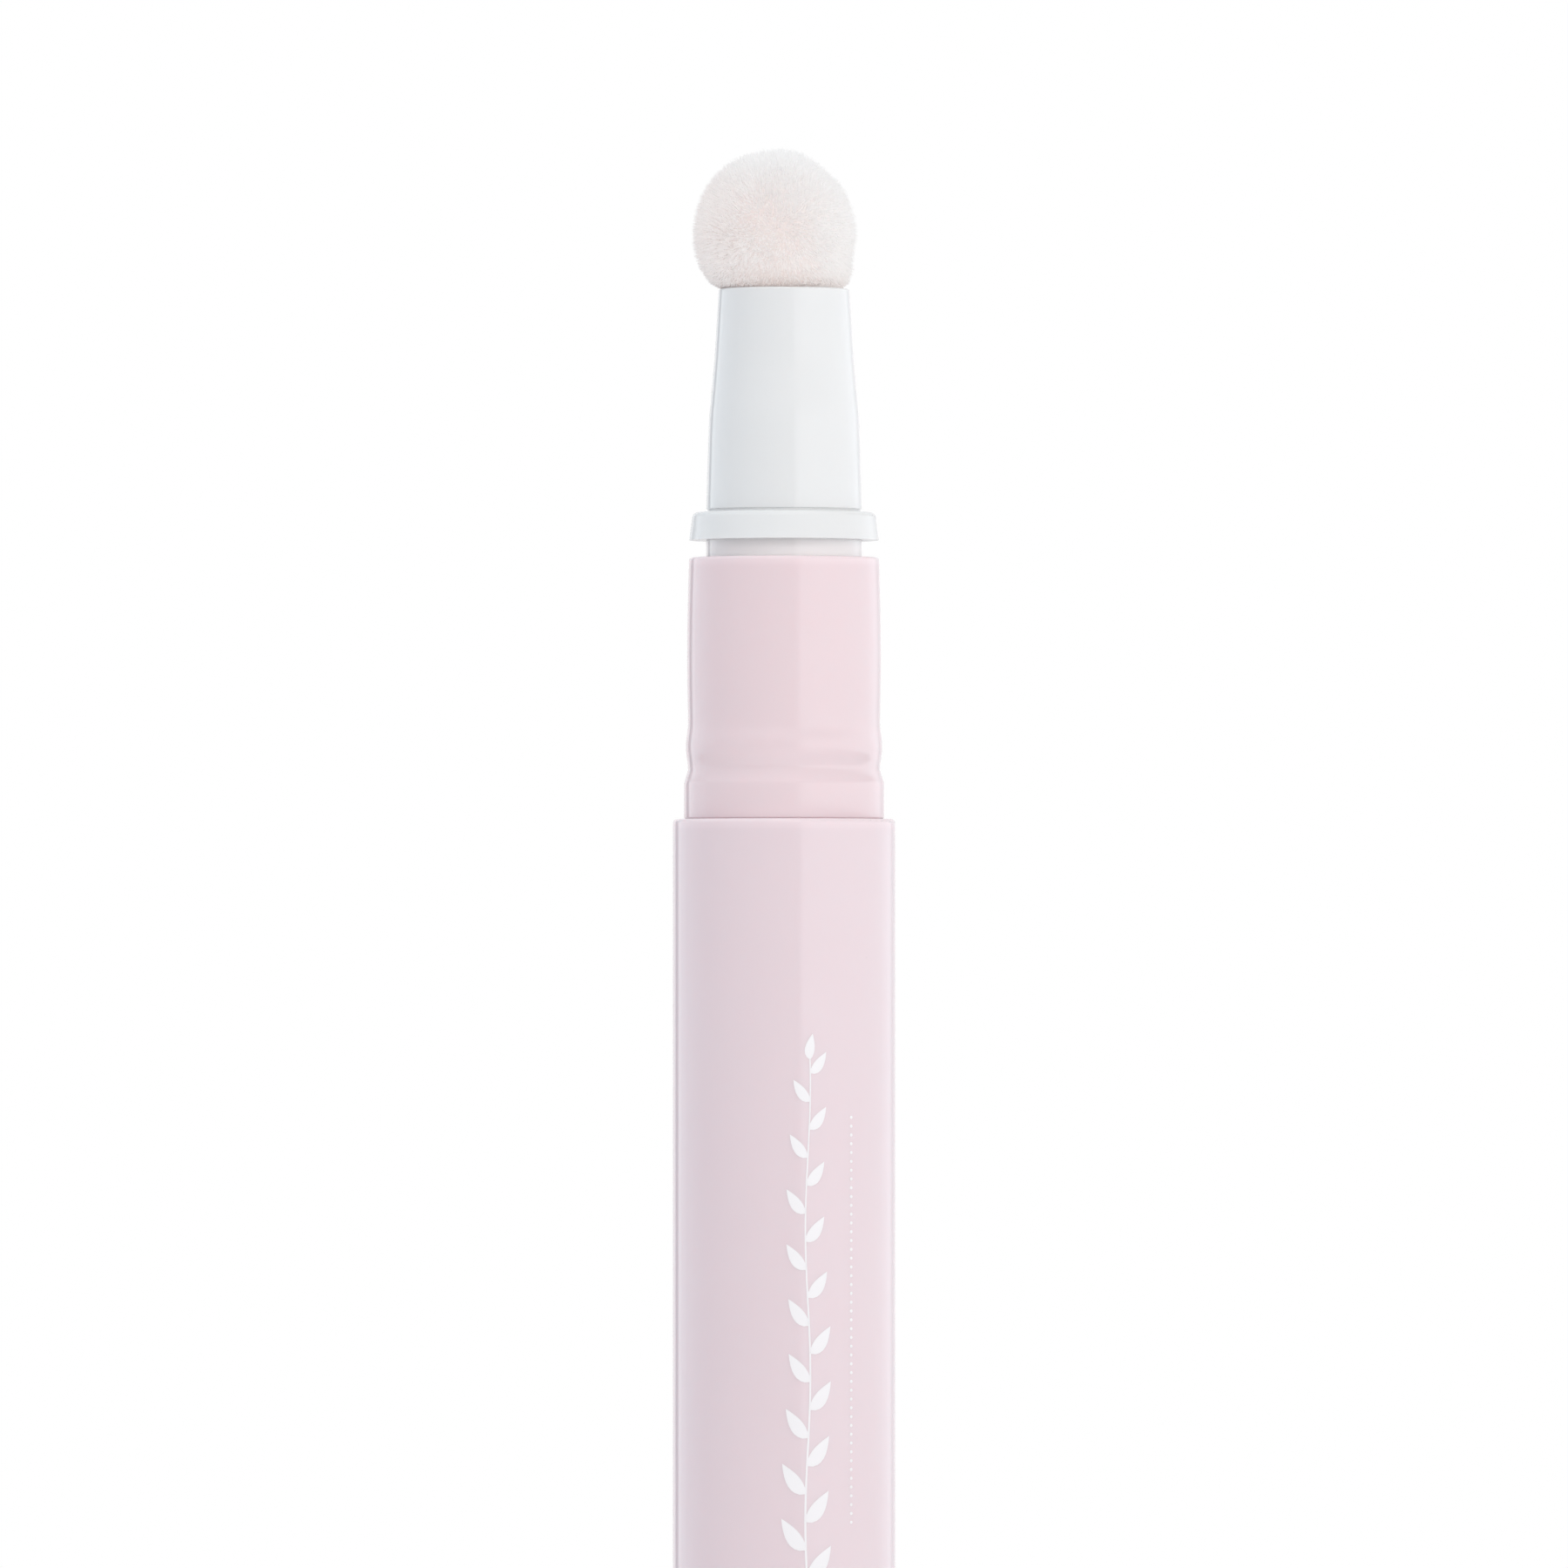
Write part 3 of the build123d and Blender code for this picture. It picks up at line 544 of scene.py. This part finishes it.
def under_the_coat(unit, deeper):
    """The point of the foam's skin that lies this way from the ball's middle."""
    outside = Vector((unit.x * ball_r, unit.y * ball_r, ball_middle + unit.z * ball_half_height))
    outward = Vector((unit.x / ball_r, unit.y / ball_r, unit.z / ball_half_height)).normalized()
    lump = lump_height * noise.noise(unit * lumps + lump_pattern)
    lump *= up_to(full_pile_height, outside.z)
    point = outside - outward * (pile_at(outside.z) - lump + deeper)
    off_foot = soft_step((point.z - rim_z - tuck_low) / (tuck_high - tuck_low))
    narrower = 1 - tuck_share * (1 - off_foot)
    return Vector((point.x * narrower, point.y * narrower, point.z))


def cut_off(form, height, **dropped):
    """Cut a form level, and drop the part above (clear_outer) or below (clear_inner)."""
    whole = form.verts[:] + form.edges[:] + form.faces[:]
    bmesh.ops.bisect_plane(
        form, geom=whole, plane_co=(0, 0, height), plane_no=(0, 0, 1), **dropped
    )


foam = bmesh.new()
bmesh.ops.create_icosphere(foam, subdivisions=6, radius=1)
for v in foam.verts:
    v.co = under_the_coat(v.co, 0)
cut_off(foam, rim_z, clear_inner=True)
for v in foam.verts:
    v.co.x += leaning(v.co.z)
for face in foam.faces:
    face.smooth = True
foot_edges = [edge for edge in foam.edges if edge.is_boundary]

# The hollow that the core's disc and barbed post fill.
press_gap = 0.02 * mm
disc_r, disc_height = 3.71 * mm + press_gap, 0.6 * mm + press_gap
post_r, post_top = 1.5 * mm + press_gap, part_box("tip_core")[1].z + press_gap
barb_r, barb_z = 2.2 * mm + press_gap, post_top - 1.2 * mm - 2 * press_gap
hollow_outline = [
    (disc_r, rim_z),
    (disc_r, rim_z + disc_height),
    (post_r, rim_z + disc_height),
    (post_r, barb_z),
    (barb_r, barb_z),
    (post_r, post_top),
    (0, post_top),
]
turned(foam, hollow_outline, steps=96)
mouth_edges = [edge for edge in foam.edges if edge.is_boundary and edge not in foot_edges]
bmesh.ops.bridge_loops(foam, edges=foot_edges + mouth_edges)
bmesh.ops.recalc_face_normals(foam, faces=foam.faces)

# The coat: small triangles all over the foam, each drawn out into a fibre of its own.
# Neighbours lean alike, in tufts.
fibre_share = 0.38  # of the triangles
fibre_foot = 0.8  # of its triangle's width
bare_rim = 0.03 * mm
tuft_size, tuft_bend = 0.5 * mm, 0.3
sweep_size, sweep_bend, sweep_pattern = 2.2 * mm, 0.35, Vector((5, 2, 9))
stray_bend, droop = 0.2, 0.35
shortest, longest = 0.7, 1.2  # times the pile
off_rim_least, off_rim_most = 0.005, 0.04  # mm, for fibres that would cross the rim
coat = bmesh.new()
along_fibre = coat.verts.layers.float.new("along_fibre")
tint = coat.verts.layers.float.new("fibre_tint")
bmesh.ops.create_icosphere(coat, subdivisions=7, radius=1)
rng = random.Random(7)
noise.seed_set(7)  # the clock sets it otherwise, and the tufts would change from run to run
bare = [face for face in coat.faces if rng.random() > fibre_share]
bmesh.ops.delete(coat, geom=bare, context="FACES")
for v in coat.verts:
    v.co = under_the_coat(v.co, root_depth)
at_rim = [face for face in coat.faces if min(v.co.z for v in face.verts) < rim_z + bare_rim]
bmesh.ops.delete(coat, geom=at_rim, context="FACES")
bmesh.ops.split_edges(coat, edges=coat.edges[:])
for face in coat.faces:
    centre = face.calc_center_median()
    for v in face.verts:
        v.co = centre.lerp(v.co, fibre_foot)
        v.co.x += leaning(centre.z)
roots = coat.faces[:]
copied = bmesh.ops.duplicate(coat, geom=roots)["geom"]
undersides = [part for part in copied if isinstance(part, bmesh.types.BMFace)]
bmesh.ops.reverse_faces(coat, faces=undersides)
tips = bmesh.ops.poke(coat, faces=roots)["verts"]


def off_the_ball(point):
    """The way the ball's surface faces at a point in its coat."""
    way = point - Vector((leaning(point.z), 0, ball_middle))
    way.z *= (ball_r / ball_half_height) ** 2
    return way.normalized()


for v in tips:
    point = v.co.copy()
    tuft = noise.noise_vector(point / tuft_size) * tuft_bend
    sweep = noise.noise_vector(point / sweep_size + sweep_pattern) * sweep_bend
    stray = Vector([rng.uniform(-1, 1) for axis in "xyz"]) * stray_bend
    combed = Vector((0, 0, -droop)) * max(0, (ball_middle - point.z) / ball_half_height)
    way = (off_the_ball(point) + tuft + sweep + stray + combed).normalized()
    v.co = point + way * (pile_at(point.z) + root_depth) * rng.uniform(shortest, longest)
    v.co.z = max(v.co.z, rim_z + rng.uniform(off_rim_least, off_rim_most) * mm)
    v[along_fibre] = 1
    v[tint] = rng.random()
bmesh.ops.remove_doubles(coat, verts=coat.verts, dist=0.0005 * mm)

# Pinker and whiter tufts, palest at the top and, partly as painted light, on the side the window
# lights; darker and browner towards the foot, and painted shade on the dim side. Sizes and places
# are in millimetres.
drift_size = 2.6
drift_share, tuft_share, least_pink = 0.8, 0.8, 0.12
pale_from, pink_below = ball_middle / mm + 5.4, ball_middle / mm + 2.0
pale_side, pink_side, pale_side_share = 3.6, 0.2, 0.3
foot_darkening_start, foot_darkening_full = rim_z / mm + 1.6, rim_z / mm
side_shade_start, side_shade_full, side_shade_share = -1.6, -5.2, 0.9
flock_tones, tones_in, tones_out = effect("flock_tones", {"Tuft Size": 0.55}, ["Pink", "Darker"])
flock_place = place_on_piece(flock_tones)
flock_at = along_axes(flock_tones, flock_place)
tufts = cloud(flock_tones, flock_place, tones_in.outputs["Tuft Size"], detail=3.0)
drifts = cloud(flock_tones, flock_place, drift_size)
pink = worked(flock_tones, "MULTIPLY_ADD", drifts, drift_share, least_pink)
pink = worked(flock_tones, "MULTIPLY_ADD", tufts, tuft_share, pink)
low_down = eased(flock_tones, flock_at["Z"], pale_from, pink_below)
# The side the window lights is made less pink: partly painted light, partly its own paler colour.
lit_side_paler = eased(flock_tones, flock_at["X"], pale_side, pink_side)
lit_side_paler = worked(flock_tones, "MULTIPLY_ADD", lit_side_paler, 1 - pale_side_share, pale_side_share)
where_pink = worked(flock_tones, "MULTIPLY", low_down, lit_side_paler)
pink = worked(flock_tones, "MULTIPLY", pink, where_pink)
flock_tones.links.new(pink, tones_out.inputs["Pink"])
# Darker and browner towards the foot.
darker_to_foot = eased(flock_tones, flock_at["Z"], foot_darkening_start, foot_darkening_full)
# Painted shade: the fibres on the side away from the window are darkened.
side_painted_shade = eased(flock_tones, flock_at["X"], side_shade_start, side_shade_full)
side_painted_shade = worked(flock_tones, "MULTIPLY", side_painted_shade, side_shade_share)
darker_mask = worked(flock_tones, "MAXIMUM", darker_to_foot, side_painted_shade)
flock_tones.links.new(darker_mask, tones_out.inputs["Darker"])


def soft(name, see_through):
    """A dull, slightly velvety material for the foam or its fibres, with no colour yet."""
    material = bpy.data.materials.new(name)
    material.use_nodes = True
    shader = material.node_tree.nodes["Principled BSDF"]
    shader.inputs["Roughness"].default_value = 0.9
    shader.inputs["Specular IOR Level"].default_value = 0.2
    shader.inputs["Sheen Weight"].default_value = 0.15
    shader.inputs["Sheen Roughness"].default_value = 0.5
    shader.inputs["Subsurface Weight"].default_value = see_through
    shader.inputs["Subsurface Radius"].default_value = (1.0, 0.85, 0.8)
    shader.inputs["Subsurface Scale"].default_value = 0.3 * mm
    return material, material.node_tree, shader.inputs["Base Color"]


def toned(tree, pink_share, white, pink, darker_share, darker_tone, bright_share=None, bright=None):
    """A colour between white and pink, darker towards the foot and with painted shade on the dim
    side, with some fibres brighter.
    """
    tones = placed(tree, flock_tones)
    towards_pink = worked(tree, "MULTIPLY", tones["Pink"], pink_share)
    colour = blended(tree, towards_pink, white, pink)
    if bright:
        colour = blended(tree, bright_share, colour, bright)
    return blended(tree, worked(tree, "MULTIPLY", tones["Darker"], darker_share), colour, darker_tone)


at_the_root = {
    "pink_share": 1.0,
    "white": (0.86, 0.82, 0.80),
    "pink": (0.85, 0.745, 0.715),
    # How far the foot's darkening and the painted shade on the dim side turn the colour, and
    # towards what.
    "darker_share": 0.42,
    "darker_tone": (0.75, 0.60, 0.545),
}
foam_skin, foam_tree, foam_colour = soft("flock_foam", see_through=0.5)
foam_tree.links.new(toned(foam_tree, **at_the_root), foam_colour)
flock_ball = made("flock_ball", foam, foam_skin, "barrel")
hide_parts("flocked_tip")

fibre, fibre_tree, fibre_colour = soft("flock_fibre", see_through=0.6)
up_the_fibre = fibre_tree.nodes.new("ShaderNodeAttribute")
up_the_fibre.attribute_name = "along_fibre"
each = fibre_tree.nodes.new("ShaderNodeAttribute")
each.attribute_name = "fibre_tint"
root_shade = toned(fibre_tree, **at_the_root)
tip_shade = toned(
    fibre_tree,
    pink_share=0.85,
    white=(0.857, 0.835, 0.814),
    pink=(0.857, 0.765, 0.728),
    # How far the foot's darkening and the painted shade on the dim side turn the colour, and
    # towards what.
    darker_share=0.35,
    darker_tone=(0.75, 0.62, 0.585),
    bright_share=worked(fibre_tree, "MULTIPLY", each.outputs["Fac"], 0.25),
    bright=(0.935, 0.915, 0.90),
)
towards_tip = eased(fibre_tree, up_the_fibre.outputs["Fac"], start=0.1, end=0.85)
fibre_tree.links.new(blended(fibre_tree, towards_tip, root_shade, tip_shade), fibre_colour)
flock_coat = made("flock_coat", coat, fibre, "barrel")

# Light goes through fibres as fine as these, so they shade neither each other nor the foam.
flock_coat.visible_shadow = False
flock_coat.visible_diffuse = False

# ---- Core, feed tube, orifice plug and piston ----
# What carries and pushes the oil: four small mouldings in uncoloured polyethylene, which is
# milky and a little waxy. The first three are pressed together into the ferrule, and the
# piston slides up the reservoir.
milky = moulded(
    "milky_plastic",
    colour=(0.80, 0.80, 0.78),
    deeper=(0.74, 0.74, 0.72),
    gloss=0.36,
    peel=0.01,
    marks=0.2,
    Subsurface_Weight=0.5,
    Subsurface_Scale=0.8 * mm,
)
for node in ("tip_core", "feed_tube", "orifice_plug", "piston"):
    finished(node, milky)

# ---- Neck O-ring ----
# Uncoloured silicone, cloudy and a little tacky, so it holds some dust. It is squeezed between
# the ferrule's groove and the reservoir's bore.
silicone = moulded(
    "neck_silicone",
    colour=(0.80, 0.80, 0.78),
    deeper=(0.74, 0.74, 0.72),
    gloss=0.42,
    peel=0.015,
    marks=0.5,
    Subsurface_Weight=0.6,
    Subsurface_Scale=1.0 * mm,
)
finished("neck_o_ring", silicone)

# ---- Reservoir tube ----
# The oil's own tube inside the barrel, in clear polypropylene, with fine lines along it from
# the core that it was moulded on.
clear = moulded(
    "clear_plastic",
    colour=(0.90, 0.91, 0.91),
    deeper=(0.86, 0.87, 0.87),
    gloss=0.1,
    peel=0.004,
    marks=0.2,
    Transmission_Weight=0.85,
    IOR=1.49,
)
finished("reservoir_tube", clear)

# ---- Twist mechanism ----
# The fixed rings, tube and nut, and the drive sleeve that turns in them, are acetal: hard,
# slippery and plain white. The click ring's is a springier grade, left faintly blue.
acetal = moulded(
    "acetal_white",
    colour=(0.80, 0.80, 0.79),
    deeper=(0.77, 0.77, 0.76),
    gloss=0.3,
    peel=0.008,
    marks=0.35,
)
for node in ("bearing_ring", "ratchet_ring", "mechanism_housing", "spindle_nut", "drive_sleeve"):
    finished(node, acetal)
spring_blue = moulded(
    "spring_acetal",
    colour=(0.62, 0.70, 0.78),
    deeper=(0.58, 0.66, 0.75),
    gloss=0.28,
    peel=0.008,
    marks=0.3,
)
finished("click_ring", spring_blue)

# ---- Spindle and nut thread ----
# The acetal rod that climbs as it turns, with a coarse right-handed thread moulded in two
# halves. A rib in the fixed nut's bore runs in its groove, and flats on its tail turn it.
lead = 2.0 * mm
thread_steps = 32  # in each turn
groove_width, crest_width, flank = 0.8 * mm, 0.7 * mm, 0.25 * mm
groove_depth, crest_below_flats = 0.48 * mm, 0.05 * mm
tail_length, neck_and_head = 4.0 * mm, 2.3 * mm
neck_length, neck_depth = 1.1 * mm, 0.5 * mm
head_below_crest, head_chamfer = 0.3 * mm, 0.4 * mm
tail_rounding = 0.12 * mm
rod_low, rod_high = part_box("spindle")
crest_r = rod_high.y - crest_below_flats
groove_r = crest_r - groove_depth
tail_top, shoulder = rod_low.z + tail_length, rod_high.z - neck_and_head
turn_start = tail_top - lead
turns = math.ceil((shoulder - turn_start) / lead) + 1


def screwed(form, section, steps):
    """Spin a section up the thread, over this many of its steps."""
    bmesh.ops.spin(
        form,
        geom=section,
        cent=(0, 0, 0),
        axis=(0, 0, 1),
        dvec=(0, 0, lead / thread_steps),
        angle=2 * math.pi * steps / thread_steps,
        steps=steps,
    )


rod = bmesh.new()
one_pitch = [
    (groove_r, 0),
    (groove_r, groove_width),
    (crest_r, groove_width + flank),
    (crest_r, groove_width + flank + crest_width),
    (groove_r, lead),
]
pitch_corners = [rod.verts.new((r, 0, turn_start + z)) for r, z in one_pitch]
pitch_sides = [rod.edges.new(pair) for pair in zip(pitch_corners, pitch_corners[1:])]
screwed(rod, pitch_corners + pitch_sides, thread_steps * turns)
bmesh.ops.remove_doubles(rod, verts=rod.verts, dist=same_place)
cut_off(rod, tail_top, clear_inner=True)
cut_off(rod, shoulder, clear_outer=True)
open_edges = [edge for edge in rod.edges if edge.is_boundary]
lower_cut = [edge for edge in open_edges if edge.verts[0].co.z < tail_top + touching]
upper_cut = [edge for edge in open_edges if edge.verts[0].co.z > shoulder - touching]

# The swivel neck and head that the piston snaps over.
head_r = crest_r - head_below_crest
neck_r = head_r - neck_depth
head_outline = [
    (neck_r, shoulder),
    (neck_r, shoulder + neck_length),
    (head_r, shoulder + neck_length),
    (head_r, rod_high.z - head_chamfer),
    (head_r - head_chamfer, rod_high.z),
    (0, rod_high.z),
]
turned(rod, head_outline, steps=32)
cut_edges = lower_cut + upper_cut
neck_ring = [edge for edge in rod.edges if edge.is_boundary and edge not in cut_edges]
bmesh.ops.bridge_loops(rod, edges=upper_cut + neck_ring)

# The keyed tail, round with two flats.
tail_foot = Matrix.Translation((0, 0, rod_low.z))
tail = bmesh.ops.create_circle(
    rod, cap_ends=True, segments=64, radius=rod_high.x, matrix=tail_foot
)["verts"]
for v in tail:
    v.co.y = min(max(v.co.y, rod_low.y), rod_high.y)
tail_ring = list(dict.fromkeys(edge for v in tail for edge in v.link_edges))
raised = bmesh.ops.extrude_edge_only(rod, edges=tail_ring)["geom"]
for part in raised:
    if isinstance(part, bmesh.types.BMVert):
        part.co.z = tail_top
raised_edges = [part for part in raised if isinstance(part, bmesh.types.BMEdge)]
tail_mouth = [edge for edge in raised_edges if edge.is_boundary]
bmesh.ops.bridge_loops(rod, edges=lower_cut + tail_mouth)
rounded(rod, tail_ring, tail_rounding, segments=2)
bmesh.ops.recalc_face_normals(rod, faces=rod.faces)
threaded_spindle = made("threaded_spindle", rod, acetal, "spindle")
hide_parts("spindle")
smoothed(threaded_spindle, sharpest=25)

# The nut's rib fills the groove but for a running gap, and its back is sunk in the bore.
run_gap, side_gap, sunk = 0.07 * mm, 0.08 * mm, 0.03 * mm
nut_bore_length = 5.4 * mm
nut_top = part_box("spindle_nut")[1].z
nut_bore_foot = nut_top - nut_bore_length
rib_root_r, rib_tip_r = crest_r + run_gap + sunk, groove_r + run_gap


def half_rib(r):
    """Half the rib's width at a radius: half the groove's own, less the gap at its side."""
    return (groove_width + 2 * flank * (r - groove_r) / (crest_r - groove_r)) / 2 - side_gap


root_half, tip_half = half_rib(rib_root_r), half_rib(rib_tip_r)
first_groove = turn_start + groove_width / 2
turns_below = math.ceil((nut_bore_foot + root_half - first_groove) / lead)
rib_start = first_groove + turns_below * lead
rib_steps = int((nut_top - root_half - rib_start) / lead * thread_steps)
rib_outline = [
    (rib_root_r, -root_half),
    (rib_tip_r, -tip_half),
    (rib_tip_r, tip_half),
    (rib_root_r, root_half),
]
rib = bmesh.new()
rib_end = rib.faces.new([rib.verts.new((r, 0, rib_start + z)) for r, z in rib_outline])
screwed(rib, [rib_end], rib_steps)
bmesh.ops.recalc_face_normals(rib, faces=rib.faces)
nut_thread = made("spindle_nut_thread", rib, acetal, "barrel")
smoothed(nut_thread, sharpest=25)

# ---- Floor ----
# A sheet of plain pale paper that the pen stands on. It keeps the pen's shadow, and fades to
# white away from it.
floor_r = 0.9
fade_start, fade_end = 60, 420  # mm from the pen
grain_size = 1.5
sheet = bmesh.new()
bmesh.ops.create_circle(sheet, cap_ends=True, segments=96, radius=floor_r)
floor_mesh = bpy.data.meshes.new("floor")
sheet.to_mesh(floor_mesh)
sheet.free()
floor = bpy.data.objects.new("floor", floor_mesh)
bpy.context.scene.collection.objects.link(floor)
paper = bpy.data.materials.new("floor_paper")
paper.use_nodes = True
paper_tree = paper.node_tree
paper_shader = paper_tree.nodes["Principled BSDF"]
paper_shader.inputs["Roughness"].default_value = 0.8
grain = cloud(paper_tree, place_on_piece(paper_tree), grain_size, detail=3.0)
paper_shade = blended(paper_tree, grain, (0.87, 0.87, 0.87), (0.85, 0.85, 0.85))
paper_tree.links.new(paper_shade, paper_shader.inputs["Base Color"])
spread = paper_tree.nodes.new("ShaderNodeVectorMath")
spread.operation = "LENGTH"
paper_tree.links.new(place_on_piece(paper_tree), spread.inputs[0])
faded = eased(paper_tree, spread.outputs["Value"], fade_start, fade_end)
seen_from = paper_tree.nodes.new("ShaderNodeLightPath")
faded = worked(paper_tree, "MULTIPLY", faded, seen_from.outputs["Is Camera Ray"])
white = paper_tree.nodes.new("ShaderNodeEmission")
fade = paper_tree.nodes.new("ShaderNodeMixShader")
paper_tree.links.new(faded, fade.inputs[0])
paper_tree.links.new(paper_shader.outputs[0], fade.inputs[1])
paper_tree.links.new(white.outputs[0], fade.inputs[2])
paper_tree.links.new(fade.outputs[0], paper_tree.nodes["Material Output"].inputs["Surface"])
floor_mesh.materials.append(paper)

# ---- Studio light ----
# White above, and mirrored in the pen from all round it: dim on the camera's side, with one
# large soft window of light to the right, which ends a little past the front.
level_end, upper_start = 0.14, 0.28  # how steep a ray is where the level light ends
backdrop_start, backdrop_full = 0.94, 0.99
world = bpy.data.worlds.new("studio")
bpy.context.scene.world = world
world.use_nodes = True
studio = world.node_tree
direction = studio.nodes.new("ShaderNodeTexCoord")
towards = along_axes(studio, direction.outputs["Generated"])
to_the_front = worked(studio, "MULTIPLY", towards["Y"], -1.0)
bearing = worked(studio, "ARCTAN2", towards["X"], to_the_front)


def light_from(lights):
    """The light from all round, given at bearings in degrees to the right of the camera."""
    ramp = studio.nodes.new("ShaderNodeValToRGB")
    share = worked(studio, "MULTIPLY_ADD", bearing, 0.5 / math.pi, 0.5)
    studio.links.new(share, ramp.inputs["Fac"])
    stops = ramp.color_ramp.elements
    while len(stops) < len(lights):
        stops.new(0.5)
    for stop, (degrees, light) in zip(stops, lights):
        stop.position = (degrees + 180) / 360
        stop.color = (*light, 1)
    return ramp.outputs["Color"]


level_light = light_from([
    (-180, (1.00, 1.00, 1.00)),
    (-156, (1.05, 1.06, 1.08)),
    (-151, (0.40, 0.41, 0.44)),
    (-145, (0.40, 0.41, 0.44)),
    (-140, (1.50, 1.56, 1.62)),
    (-112, (1.10, 1.18, 1.26)),
    (-85, (0.46, 0.50, 0.56)),
    (-30, (0.34, 0.36, 0.38)),
    (15, (0.36, 0.36, 0.36)),
    (21, (1.55, 1.55, 1.55)),
    (95, (1.60, 1.62, 1.65)),
    (128, (1.60, 1.64, 1.70)),
    (142, (1.55, 1.60, 1.66)),
    (150, (0.95, 0.96, 1.00)),
    (157, (0.95, 0.96, 1.00)),
    (180, (1.00, 1.00, 1.00)),
])
upper_light = light_from([
    (-180, (0.90, 0.92, 0.94)),
    (-80, (0.68, 0.74, 0.80)),
    (0, (0.70, 0.70, 0.70)),
    (80, (0.40, 0.40, 0.40)),
    (180, (0.90, 0.92, 0.94)),
])
slope = worked(studio, "ABSOLUTE", towards["Z"])
off_level = eased(studio, slope, level_end, upper_start)
surround = studio.nodes["Background"]
surround.inputs["Strength"].default_value = 1.05
studio.links.new(blended(studio, off_level, level_light, upper_light), surround.inputs["Color"])

# The plain white backdrop, which the camera sees directly and through the clear tube, and
# mirrored where a surface is nearly edge on.
backdrop = studio.nodes.new("ShaderNodeBackground")
backdrop.inputs["Color"].default_value = (1, 1, 1, 1)
path = studio.nodes.new("ShaderNodeLightPath")
behind = eased(studio, towards["Y"], backdrop_start, backdrop_full)
behind = worked(studio, "MULTIPLY", path.outputs["Is Glossy Ray"], behind)
shown = worked(studio, "ADD", path.outputs["Is Camera Ray"], path.outputs["Is Transmission Ray"])
shown = worked(studio, "MINIMUM", worked(studio, "ADD", shown, behind), 1.0)
choice = studio.nodes.new("ShaderNodeMixShader")
studio.links.new(shown, choice.inputs[0])
studio.links.new(surround.outputs[0], choice.inputs[1])
studio.links.new(backdrop.outputs[0], choice.inputs[2])
studio.links.new(choice.outputs[0], studio.nodes["World Output"].inputs["Surface"])


def softbox(name, place, target, energy):
    """A round soft light, turned to shine at a point. The camera can't see it."""
    lamp = bpy.data.lights.new(name, "AREA")
    lamp.shape = "DISK"
    lamp.size = 0.7
    lamp.energy = energy
    light = bpy.data.objects.new(name, lamp)
    light.location = place
    light.rotation_euler = (Vector(place) - Vector(target)).to_track_quat("Z", "Y").to_euler()
    light.visible_camera = False
    bpy.context.scene.collection.objects.link(light)
    return light


front_softbox = softbox("front_softbox", (0.1, -1.0, 0.71), (0, 0, 0.09), energy=3.9)
front_softbox.visible_glossy = False
softbox("overhead_softbox", (0.15, -0.1, 1.1), (0, 0, 0.1), energy=0.9)

# ---- Camera ----
# Level with the upper part of the barrel and nearly a metre off, tipped up a little. It frames
# the upper two thirds of the pen.
lens_data = bpy.data.cameras.new("camera")
lens_data.sensor_width = 36
lens_data.lens = 346.8
lens_data.clip_start = 0.05
lens_data.clip_end = 20
camera = bpy.data.objects.new("camera", lens_data)
camera.location = (0, -0.95, 0.086)
aim = Vector((0, 0, 0.0962)) - camera.location
camera.rotation_euler = aim.to_track_quat("-Z", "Y").to_euler()
bpy.context.scene.collection.objects.link(camera)
bpy.context.scene.camera = camera
bpy.context.scene.view_settings.view_transform = "Standard"
